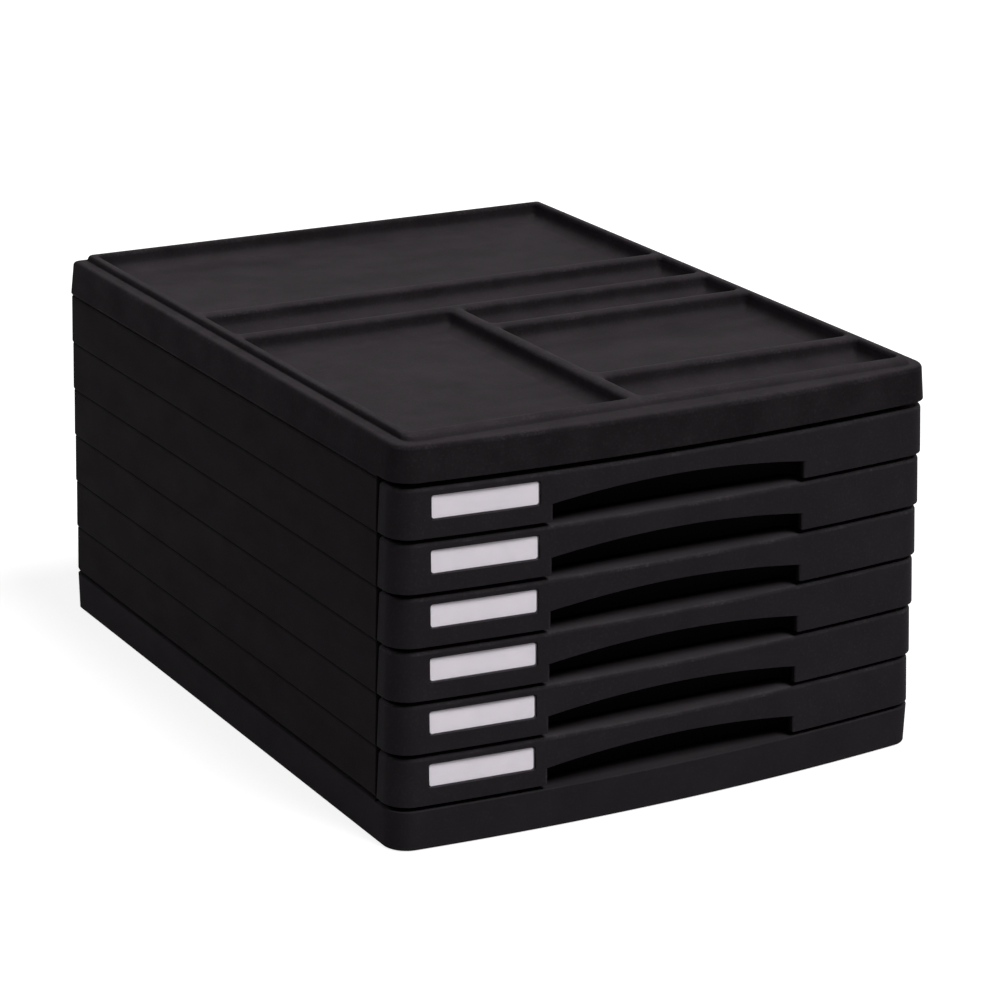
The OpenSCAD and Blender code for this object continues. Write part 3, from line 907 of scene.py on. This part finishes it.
def plinth():
    """The base: a shallow upturned tray with the casing's outline, ribs and bosses for the feet."""
    skin = 2
    taper = 0.5
    edge_r = 0.7
    wall = 2.9
    root = 0.3
    rib_lift = 1.2
    foot = upright_to_level((taper, PLINTH_FOOT + edge_r), (taper + edge_r, PLINTH_FOOT), 4)[::-1]
    low_top = PLINTH_TOP - HALF_GAP
    low_inset = taper * HALF_GAP / (PLINTH_TOP - PLINTH_FOOT - edge_r)
    insets = [p[0] for p in foot] + [low_inset]
    lead = len(insets)
    insets += [0, HALF_W - SLOT_X1, HALF_W - SLOT_X0, DECK_INSET]
    insets += insets[:lead:-1] + [wall, wall, wall]

    def heights(top):
        rising = [p[1] for p in foot] + [low_top]
        return rising + [top] * 4 + [top - skin] * 4 + [low_top - skin, PLINTH_FOOT]

    bm = new_work()
    lower = list(insets)
    lower[lead] = low_inset
    front = stand_up(bm, [front_line(inset) for inset in lower], heights(low_top))
    rear = stand_up(bm, [rear_line(inset) for inset in insets], heights(PLINTH_TOP))
    slots = [len(front) + s for s in add_deck(bm, rear, lead + 1, lead + 6)]
    deck = lead + 3
    add_bands(
        bm, front + rear, left_out=deck, closed=True, curved=range(len(foot) - 1),
        skips={lead + 1: slots, lead + 5: slots},
    )
    for row in (deck, deck + 1):
        add_face(bm, row_of(front, row))
        add_face(bm, row_of(rear, row))
        add_face(bm, [front[0][row], front[-1][row], rear[0][row], rear[-1][row]])
    rib = bmesh.new()
    rib_low = PLINTH_FOOT + rib_lift
    rib_high = PLINTH_TOP - skin - RUNNER_ROOT
    rib_front = FRONT_Y + wall - root
    add_block(rib, -RIB_T / 2, RIB_T / 2, rib_front, UNIT_D / 2 - WALL_OVERLAP, rib_low, rib_high)
    add_copies(bm, rib, 2, 1, RIB_SPREAD, 0, PLINTH)
    boss = bmesh.new()
    socket_r = FOOT_R + BOSS_ROOM
    socket = [(socket_r, FOOT_T), (socket_r, PLINTH_FOOT)]
    add_turned(boss, socket + [(BOSS_R, PLINTH_FOOT), (BOSS_R, PLINTH_TOP - skin + RUNNER_ROOT)])
    add_copies(bm, boss, 2, 2, 2 * FOOT_X, FOOT_SPREAD_Y, PLINTH)
    add_runners(bm, PLINTH_TOP, PLINTH)
    finish_piece(
        "plinth", bm, PLINTH, "casing", ["base_plinth"], fine=on_joint
    )


def add_turned(bm, profile):
    """A closed turned shape in the middle of the four feet, through (radius, z) pairs."""
    rings = [(corner_arc(0, FOOT_MIDDLE_Y, r, 0, 360, TURN_STEPS)[:-1], z) for r, z in profile]
    rows = add_rings(bm, rings)
    add_face(bm, rows[0])
    add_face(bm, rows[-1])


def feet():
    """Four rubber feet, each a disc with a domed sole and a ring groove."""
    foot = bmesh.new()
    sole = [(0.9, 0), (3.4, 0), (3.8, 0.5), (4.6, 0.5), (5, 0), (6.9, 0), (7.5, 0.15), (7.9, 0.6)]
    add_turned(foot, sole + [(FOOT_R, 1.2), (FOOT_R, FOOT_T - 0.2), (FOOT_R - 0.2, FOOT_T)])
    bm = new_work()
    add_copies(bm, foot, 2, 2, 2 * FOOT_X, FOOT_SPREAD_Y, RUBBER)
    finish_piece("feet", bm, RUBBER, "casing", ["rubber_feet"], ease=0.12)


def label_place(k):
    """Where a label piece, drawn flat and centred, stands on drawer k's face."""
    inset = FRONT_DRAFT * (LABEL_RISE - FOOT_EASE) / FACE_H
    y = BOW_CY - math.sqrt((BOW_R - inset) ** 2 - LABEL_OFFSET ** 2)
    z = PLINTH_TOP + (LEVELS - k) * PITCH + HALF_GAP + LABEL_RISE
    turn = Matrix.Rotation(-math.asin(LABEL_OFFSET / BOW_R), 4, "Z")
    lean = Matrix.Rotation(math.pi / 2 - math.atan(FRONT_DRAFT / FACE_H), 4, "X")
    return Matrix.Translation((-LABEL_OFFSET, y, z)) @ turn @ lean


def label_plate(k, name, side_margin, margin, lift, thickness, finish, ease):
    """The card or the window of drawer k, in the recess at a lift above its floor."""
    bm = new_work()
    x = LABEL_W / 2 - side_margin
    y = LABEL_H / 2 - margin
    outline = round_box(-x, x, -y, y, LABEL_R - LABEL_ROOM, LABEL_CORNER_STEPS)
    low = lift - LABEL_RECESS
    rows = add_rings(bm, [(outline, low + PLATE_GAP), (outline, low + thickness)])
    add_face(bm, rows[0][::-1])
    add_face(bm, rows[1])
    bmesh.ops.transform(bm, matrix=label_place(k), verts=bm.verts)
    finish_piece(
        "%s_%d" % (name, k), bm, finish, "drawer_body_%d" % k, ["label_%s_%d" % (name, k)],
        ease=ease,
    )


def add_front(bm, k, foot):
    """The bowed front: skin, rounded top, ledge, finger pull mouth and label recess."""
    label_spots = label_outline()
    label_turns = [
        math.degrees(math.asin(u / BOW_R) - math.asin(LABEL_OFFSET / BOW_R)) for u, _ in label_spots
    ]
    spots = even_steps(-PULL_HALF_W, PULL_HALF_W, PULL_STEPS)
    mouth_turns = [math.degrees(math.asin(x / BOW_R)) for x in spots]
    plain_turns = even_steps(mouth_turns[-1], FULL_TURN, 6)[1:-1]
    bow = label_turns + mouth_turns + plain_turns
    lead = CORNER_STEPS + 2
    on_label = range(lead, lead + len(label_spots))
    at_mouth = range(on_label.stop, on_label.stop + PULL_STEPS + 1)
    lean = FACE_H / math.hypot(FACE_H, FRONT_DRAFT)
    half_label = label_spots[len(label_spots) // 2][1] * lean
    crown = upright_to_level(
        (FRONT_DRAFT, FRONT_TOP - FRONT_EDGE_R), (FRONT_DRAFT + FRONT_EDGE_R, FRONT_TOP), CROWN_STEPS
    )
    stations = len(front_line(0, bow, FRONT_BACK_Y))

    def mouth_height(s):
        x = BOW_R * math.sin(math.radians(bow[s - lead]))
        return PULL_MID_H - (PULL_MID_H - PULL_END_H) * (x / PULL_HALF_W) ** 2

    lines = {}
    ledge = ledge_line(bow)

    def spot(s, inset, z):
        """The point of the outline drawn in by inset, at station s and height z above the foot."""
        if inset not in lines:
            lines[inset] = front_line(inset, bow, FRONT_BACK_Y)
        return (*lines[inset][s], foot + z)

    columns = []
    for s in range(stations):
        half = half_label
        if s in on_label:
            half = label_spots[s - lead][1] * lean
        low = mouth_height(s) if s in at_mouth else LABEL_RISE - half
        face = [(0, 0)] + [(face_inset(z), z) for z in (low, LABEL_RISE + half)] + crown
        points = [spot(s, inset, z) for inset, z in face]
        points += [(*ledge[s], foot + z) for z in (FRONT_TOP, FRONT_TOP - LEDGE_T)]
        points += [spot(s, FRONT_INSET, z) for z in (FRONT_TOP - LEDGE_T, low, 0)]
        columns.append(points)
    grid = add_grid(bm, columns)
    rows = len(columns[0])
    first_crown = 3
    last_crown = first_crown + len(crown) - 1
    for s in range(stations - 1):
        cycle = range(1, rows - 1) if s in at_mouth[:-1] else range(rows)
        for r, q in zip(cycle, [*cycle[1:], cycle[0]]):
            if r != 1 or s not in on_label[:-1]:
                curved = int(first_crown <= r < last_crown)
                add_face(bm, [grid[s][r], grid[s + 1][r], grid[s + 1][q], grid[s][q]], curved)
    for s in (at_mouth[0], at_mouth[-1]):
        add_face(bm, [grid[s][0], grid[s][1], grid[s][rows - 2], grid[s][rows - 1]])
    add_face(bm, grid[0])
    add_face(bm, grid[-1])
    place = label_place(k)
    floor = add_grid(
        bm, [[place @ Vector((u, v, -LABEL_RECESS)) for v in (-half, half)] for u, half in label_spots]
    )
    opening = [grid[s][1:3] for s in on_label]
    for row in (0, 1):
        add_band(bm, row_of(opening, row), row_of(floor, row))
    add_band(bm, row_of(floor, 0), row_of(floor, 1))
    for end in (0, -1):
        low, high = opening[end]
        add_face(bm, [low, *floor[end], high])


def label_outline():
    """Half heights of the label recess along its width, round at the corners, as (across, half) pairs."""
    side = LABEL_W / 2 + LABEL_ROOM
    half = LABEL_H / 2 + LABEL_ROOM
    turns = quarter_turns(LABEL_CORNER_STEPS)
    corner = [(side - LABEL_R * (1 - math.cos(t)), half - LABEL_R * (1 - math.sin(t))) for t in turns]
    middle = even_steps(LABEL_R - side, side - LABEL_R, LABEL_STEPS)[1:-1]
    return [(-u, v) for u, v in corner] + [(u, half) for u in middle] + corner[::-1]


def face_inset(z):
    return FRONT_DRAFT * min(max((z - FOOT_EASE) / FACE_H, 0), 1)


def ledge_line(bow):
    """The ledge's inner edge, just proud of the tray's inner face, station by station."""
    x = TRAY_HALF_W - TRAY_WALL - LEDGE_LAP
    y = TRAY_FRONT_Y + TRAY_WALL + LEDGE_LAP
    middle = [(BOW_R * math.sin(math.radians(a)), y) for a in bow]
    return seam_to_seam(x, FRONT_BACK_Y, y + TRAY_INNER_R, TRAY_INNER_R, middle)


def add_pull_cup(bm, foot):
    """The U-shaped wall behind the mouth that fingers reach into."""
    half = PULL_HALF_W + PULL_CLEAR
    back = TRAY_FRONT_Y - PULL_BACK_GAP
    start = FRONT_Y + FRONT_BOW / 2
    top = foot + FRONT_TOP - LEDGE_T + LEDGE_LAP
    lines = [
        round_back(half + offset, [start], back + offset, PULL_R + offset)
        for offset in (0, 0, PULL_WALL, PULL_WALL)
    ]
    grid = stand_up(bm, lines, (foot, top, top, foot))
    add_bands(bm, grid)
    add_face(bm, grid[0])
    add_face(bm, grid[-1])


def add_tray(bm, z):
    """The tray: rounded rim, upright walls and a filleted floor."""
    rim = TRAY_RIM - TRAY_LIFT
    side = rim - TRAY_RIM_R
    profile = upright_to_level((0, TRAY_FOOT_R), (TRAY_FOOT_R, 0), 4)[::-1]
    rim_start = len(profile)
    profile += upright_to_level((0, side), (TRAY_RIM_R, rim), 3)
    profile += level_to_upright((TRAY_WALL - TRAY_RIM_R, rim), (TRAY_WALL, side), 3)
    rim_end = len(profile) - 1
    profile += upright_to_level(
        (TRAY_WALL, TRAY_FLOOR + TRAY_FILLET), (TRAY_WALL + TRAY_FILLET, TRAY_FLOOR), 5
    )
    rings = []
    for inset, h in profile:
        r = max(TRAY_R - inset, TRAY_LEAST_R)
        outline = round_box(
            inset - TRAY_HALF_W, TRAY_HALF_W - inset, TRAY_FRONT_Y + inset, TRAY_BACK_Y - inset, r, 6
        )
        rings.append((outline, z + TRAY_LIFT + h))
    rows = add_rings(bm, rings, curved=range(rim_start, rim_end))
    add_face(bm, rows[0][::-1])
    add_face(bm, rows[-1])


FRONT_RIBS = 2
RIB_LIFT = 0.6
LABEL_ZONE_X = LABEL_W / 2 + 0.5
LABEL_ZONE_Y = FRONT_Y + 12
LABEL_ZONE_Z = LABEL_H / 2 + 0.3
MOUTH_ZONE_Y = FRONT_Y + 3.3


def drawer(k):
    z = PLINTH_TOP + (LEVELS - k) * PITCH
    foot = z + HALF_GAP
    bm = new_work()
    add_front(bm, k, foot)
    add_pull_cup(bm, foot)
    add_tray(bm, z)
    add_stops(bm, z, TRAY_HALF_W - LUG_ROOT, TRAY_HALF_W + LUG_REACH, LUG_Y)
    first_x = PULL_HALF_W + PULL_WALL
    step = (HALF_W - FRONT_INSET - first_x) / (FRONT_RIBS + 1)
    for i in range(FRONT_RIBS):
        x = first_x + step * (i + 1)
        rib = bmesh.new()
        front_y = BOW_CY - math.sqrt(BOW_R ** 2 - x ** 2) + FRONT_INSET - RIB_LIFT
        back_y = TRAY_FRONT_Y + TRAY_WALL / 2
        rib_top = foot + FRONT_TOP - 2 * RIB_LIFT
        add_block(rib, -RIB_T / 2, RIB_T / 2, front_y, back_y, foot + RIB_LIFT, rib_top)
        add_copies(bm, rib, 2, 1, 2 * x, 0, FRONT)

    def fine(edge):
        """Soft upright edges at the ends of the finger pull, tight ones round the label."""
        middle = (edge.verts[0].co + edge.verts[1].co) / 2
        across = abs(middle.x + LABEL_OFFSET) < LABEL_ZONE_X
        level = abs(middle.z - foot - LABEL_RISE) < LABEL_ZONE_Z
        if across and level and middle.y < LABEL_ZONE_Y:
            return LABEL_EASE / MOUTH_EASE
        at_end = all(abs(abs(v.co.x) - PULL_HALF_W) < 0.05 for v in edge.verts)
        upright = abs(edge.verts[0].co.z - edge.verts[1].co.z) > 2
        return 1 if at_end and upright and middle.y < MOUTH_ZONE_Y else FINE_EASE / MOUTH_EASE

    finish_piece(
        "drawer_moulding_%d" % k, bm, FRONT, "drawer_body_%d" % k, ["drawer_%d" % k],
        ease=MOUTH_EASE, fine=fine,
    )


# Compartments of the organiser
FRONT_LAND = 11.6
REAR_DISH_D = 124
LONG_GROOVE_W = 35.5
REAR_GROOVE_W = 30
FRONT_GROOVE_W = 35
DIVIDER_X = -15
ORGANISER_X = HALF_W - RIM_INSET
ORGANISER_BACK = UNIT_D / 2 - REAR_RIM_INSET
ORGANISER_FRONT = FRONT_Y + FRONT_BOW + FRONT_LAND
REAR_DISH_FRONT = ORGANISER_BACK - REAR_DISH_D
LONG_GROOVE_BACK = REAR_DISH_FRONT - RIDGE_W
LONG_GROOVE_FRONT = LONG_GROOVE_BACK - LONG_GROOVE_W
LOW_BACK = LONG_GROOVE_FRONT - RIDGE_W
DIVIDER_LEFT = DIVIDER_X - RIDGE_W / 2
DIVIDER_RIGHT = DIVIDER_X + RIDGE_W / 2
REAR_GROOVE_FRONT = LOW_BACK - REAR_GROOVE_W
FRONT_GROOVE_BACK = ORGANISER_FRONT + FRONT_GROOVE_W

# Rounding of the compartments' walls: how far they lean over at the crest, and their fall below it
CREST = 2.6
RIM_OVER = 1.5
RIDGE_OVER = 3.75
FRONT_OVER = 1.7
BACK_OVER = 1.8
WALL_R = 3
WALL_FLARE = 1.5
SKIN = 2
SIDE_FALL = (0.4, 7.4, 3.8)
DISH_FALLS = (SIDE_FALL, SIDE_FALL, (0.3, 3.9, 5.2), (0.4, 8.4, 4.0))
GROOVE_FALLS = (SIDE_FALL, SIDE_FALL, (0.4, 16, CREST), (0.3, 9, 3.4))

# The rim's outer face from the shoulder up: (side, front, back, height) from its foot
RIM_FACE = (
    (-0.6, -1.0, -0.2, -0.1),
    (-0.2, -0.3, 0.0, 0.0),
    (0.0, 0.15, 0.05, 0.22),
    (0.1, 0.6, 0.2, 0.65),
    (0.2, 1.15, 0.35, 1.1),
    (0.35, 1.9, 0.6, 1.65),
    (0.55, 2.8, 0.85, 2.2),
    (0.9, 3.9, 1.2, 2.7),
    (1.6, 5.2, 1.7, BEAD_H),
)


def wall_inset(depth, over, fall):
    """How far a compartment's wall stands in from its nominal line at a depth below the rim."""
    start, end, from_depth = fall
    if depth <= CREST:
        return -over + over * math.sqrt(max(1 - (1 - depth / CREST) ** 2, 0))
    if depth <= from_depth:
        return start * (depth - CREST) / (from_depth - CREST)
    share = min((depth - from_depth) / (DISH_DEPTH - from_depth), 1)
    return start + (end - start) * (share ** 2 + 1 - math.sqrt(1 - share ** 2)) / 2


def add_compartment(bm, box, overs, falls):
    """box is (left, right, front, back); overs and falls follow the same order."""
    depths = [CREST * (1 - math.cos(t)) for t in quarter_turns(7)]
    depths += [CREST + (DISH_DEPTH - CREST) * math.sin(t) for t in quarter_turns(12)[1:]]
    rings = []
    for depth in depths:
        left, right, front, back = (wall_inset(depth, o, f) for o, f in zip(overs, falls))
        y0 = box[2] + front
        y1 = box[3] - back
        r = min(WALL_R + WALL_FLARE * max(1 - depth / CREST, 0), (y1 - y0) / 2 - 0.2)
        outline = round_box(box[0] + left, box[1] - right, y0, y1, r, 8)
        rings.append((outline, UNIT_H - depth))
    rows = add_rings(bm, rings, curved=range(0, 6))
    add_face(bm, rows[-1])


def organiser():
    """The cover: skirt, soft shoulder, raised rim with a straight front, and six compartments."""
    skirt_top = SHOULDER_Z - COVER_EDGE_R
    shoulder_end = (COVER_DRAFT + COVER_EDGE_R, SHOULDER_Z)
    shoulder = upright_to_level((COVER_DRAFT, skirt_top), shoulder_end, CROWN_STEPS)
    channel = SHOULDER_Z - 2.2
    ceiling = UNIT_H - DISH_DEPTH - DISH_FLOOR
    raised = STACK_TOP + COVER_LIFT
    feet_in = drawn_in_foot(STACK_TOP, COVER_JOINT_INSET, COVER_LIFT)
    lines = [(front_line(0), rear_line(inset), z) for inset, z in feet_in]
    lead = len(lines)
    lines += [(front_line(inset), rear_line(inset), z) for inset, z in shoulder]
    for side, front_in, back_in, rise in RIM_FACE:
        rim_front = straight_front(GROOVE_INSET + side, RIM_FRONT + front_in, RIM_CORNER_R - side)
        rim_rear = rear_line(GROOVE_INSET + side, REAR_RIM_FOOT + back_in, LEAST_R)
        lines.append((rim_front, rim_rear, SHOULDER_Z + rise))
    crest = len(lines) - 1
    skin_front = straight_front(RIM_INSET - SKIN, ORGANISER_FRONT - SKIN, WALL_R)
    skin_rear = rear_line(RIM_INSET - SKIN, REAR_RIM_INSET - SKIN, LEAST_R)
    lines += [(skin_front, skin_rear, z) for z in (ceiling, channel)]
    inner_front = front_line(COVER_INSET)
    inner_rear = rear_line(COVER_INSET)
    lines += [(inner_front, inner_rear, z) for z in (channel, raised, STACK_TOP)]
    ahead, behind, heights = zip(*lines)
    bm = new_work()
    front = stand_up(bm, ahead, [max(z, raised) for z in heights])
    rear = stand_up(bm, behind, heights)
    curved = (*range(lead, lead + len(shoulder) - 1), *range(crest - 3, crest))
    add_bands(bm, front + rear, left_out=crest, closed=True, curved=curved)
    x = ORGANISER_X
    hollows = (
        (DISH_FALLS, (-x, x, REAR_DISH_FRONT, ORGANISER_BACK)),
        (GROOVE_FALLS, (-x, x, LONG_GROOVE_FRONT, LONG_GROOVE_BACK)),
        (DISH_FALLS, (-x, DIVIDER_LEFT, ORGANISER_FRONT, LOW_BACK)),
        (GROOVE_FALLS, (DIVIDER_RIGHT, x, REAR_GROOVE_FRONT, LOW_BACK)),
        (DISH_FALLS, (DIVIDER_RIGHT, x, FRONT_GROOVE_BACK + RIDGE_W, REAR_GROOVE_FRONT - RIDGE_W)),
        (GROOVE_FALLS, (DIVIDER_RIGHT, x, ORGANISER_FRONT, FRONT_GROOVE_BACK)),
    )
    outer = ((-x, RIM_OVER), (x, RIM_OVER), (ORGANISER_FRONT, FRONT_OVER), (ORGANISER_BACK, BACK_OVER))
    for falls, box in hollows:
        overs = [over if abs(side - line) < 1 else RIDGE_OVER for side, (line, over) in zip(box, outer)]
        add_compartment(bm, box, overs, falls)
    bmesh.ops.remove_doubles(bm, verts=bm.verts, dist=SAME_SPOT)
    open_edges = [e for e in bm.edges if len(e.link_faces) == 1]
    rim = [e for e in open_edges if all(abs(v.co.z - UNIT_H) < 0.01 for v in e.verts)]
    under = [e for e in open_edges if all(abs(v.co.z - ceiling) < 0.01 for v in e.verts)]
    land = bmesh.ops.triangle_fill(bm, use_beauty=True, use_dissolve=False, edges=rim)
    for made in land["geom"]:
        # The land takes the wear and painted glints of the curved faces
        if isinstance(made, bmesh.types.BMFace):
            made[bm.faces.layers.int["curved"]] = 1
    bmesh.ops.edgeloop_fill(bm, edges=under)
    add_tabs(bm, STACK_TOP)
    finish_piece(
        "organiser_top", bm, COVER, "casing", ["organiser_cover"],
        fine=on_joint,
    )


plinth()
feet()
for level in range(1, LEVELS + 1):
    level_frame(level)
    drawer(level)
    label_plate(level, "card", CARD_SIDE_MARGIN, CARD_MARGIN, 0, CARD_T, CARD, CARD_EASE)
    label_plate(
        level, "window", WINDOW_SIDE_MARGIN, WINDOW_MARGIN, CARD_T, WINDOW_T, WINDOW, WINDOW_EASE
    )
organiser()


# Floor, lamps and camera
FLOOR_GREY = (0.36, 0.36, 0.36, 1)
FLOOR_HALF = 9
FLOOR_GLOW = 0.80
ROOM_LIGHT = 0.07


def seen_directly(tree):
    """Above 0 for what the camera sees itself or in a reflection, 0 for light on its way to the object."""
    rays = tree.nodes.new("ShaderNodeLightPath").outputs
    return plus(tree, rays["Is Camera Ray"], rays["Is Glossy Ray"], rays["Is Transmission Ray"])


def floor_material():
    material, tree, shader = new_material("Pale floor", 0.0)
    shader.inputs["Base Color"].default_value = FLOOR_GREY
    shader.inputs["Roughness"].default_value = 0.95
    glow = tree.nodes.new("ShaderNodeEmission")
    tree.links.new(times(tree, seen_directly(tree), FLOOR_GLOW), glow.inputs["Strength"])
    both = tree.nodes.new("ShaderNodeAddShader")
    tree.links.new(shader.outputs[0], both.inputs[0])
    tree.links.new(glow.outputs[0], both.inputs[1])
    tree.links.new(both.outputs[0], tree.nodes["Material Output"].inputs["Surface"])
    return material


def lay_floor():
    bm = bmesh.new()
    corners = ((-1, -1), (1, -1), (1, 1), (-1, 1))
    add_face(bm, [bm.verts.new((FLOOR_HALF * x, FLOOR_HALF * y, 0)) for x, y in corners])
    mesh = bpy.data.meshes.new("floor")
    bm.to_mesh(mesh)
    bm.free()
    mesh.materials.append(floor_material())
    floor = new_object("floor", mesh)


def light_room():
    world = bpy.data.worlds.new("Studio")
    bpy.context.scene.world = world
    world.use_nodes = True
    tree = world.node_tree
    seen = math_node(tree, "MINIMUM", seen_directly(tree), 1.0)
    strength = math_node(tree, "MULTIPLY_ADD", seen, 1.0 - ROOM_LIGHT, ROOM_LIGHT)
    background = tree.nodes["Background"]
    background.inputs["Color"].default_value = (1, 1, 1, 1)
    tree.links.new(strength, background.inputs["Strength"])


def hang_sun(name, strength, position, angle):
    """A soft sun that shines from a position towards the object. angle is its width in degrees."""
    lamp = bpy.data.lights.new(name, "SUN")
    lamp.energy = strength
    lamp.angle = math.radians(angle)
    holder = new_object(name, lamp)
    holder.location = position
    holder.rotation_euler = (-Vector(position)).to_track_quat("-Z", "Y").to_euler()


lay_floor()
light_room()
hang_sun("Key from the right", 3.65, (0.52, -0.93, 1.70), 28)
hang_sun("Fill from the left", 1.05, (-1.08, 0.91, 1.41), 35)

CAMERA_PLACE = Vector((-811.031, -1427.612, 646.384)) * MM
CAMERA_AZIMUTH = 0.522108
CAMERA_TILT = -0.323944
CAMERA_ROLL = 0.015581
SENSOR = 36.0
FOCAL_PIXELS = 3409.875
IMAGE_SIDE = 1000


def set_camera():
    camera = bpy.data.cameras.new("Photo view")
    camera.sensor_width = SENSOR
    camera.lens = SENSOR * FOCAL_PIXELS / IMAGE_SIDE
    camera.clip_end = 100
    holder = new_object("Photo view", camera)
    az, tilt, roll = CAMERA_AZIMUTH, CAMERA_TILT, CAMERA_ROLL
    ahead = Vector((math.sin(az) * math.cos(tilt), math.cos(az) * math.cos(tilt), math.sin(tilt)))
    level_right = Vector((math.cos(az), -math.sin(az), 0))
    level_up = level_right.cross(ahead)
    right = math.cos(roll) * level_right + math.sin(roll) * level_up
    up = math.cos(roll) * level_up - math.sin(roll) * level_right
    turned = Matrix((right, up, -ahead)).transposed()
    holder.matrix_world = Matrix.Translation(CAMERA_PLACE) @ turned.to_4x4()
    bpy.context.scene.camera = holder


set_camera()
bpy.context.scene.view_settings.view_transform = "Standard"
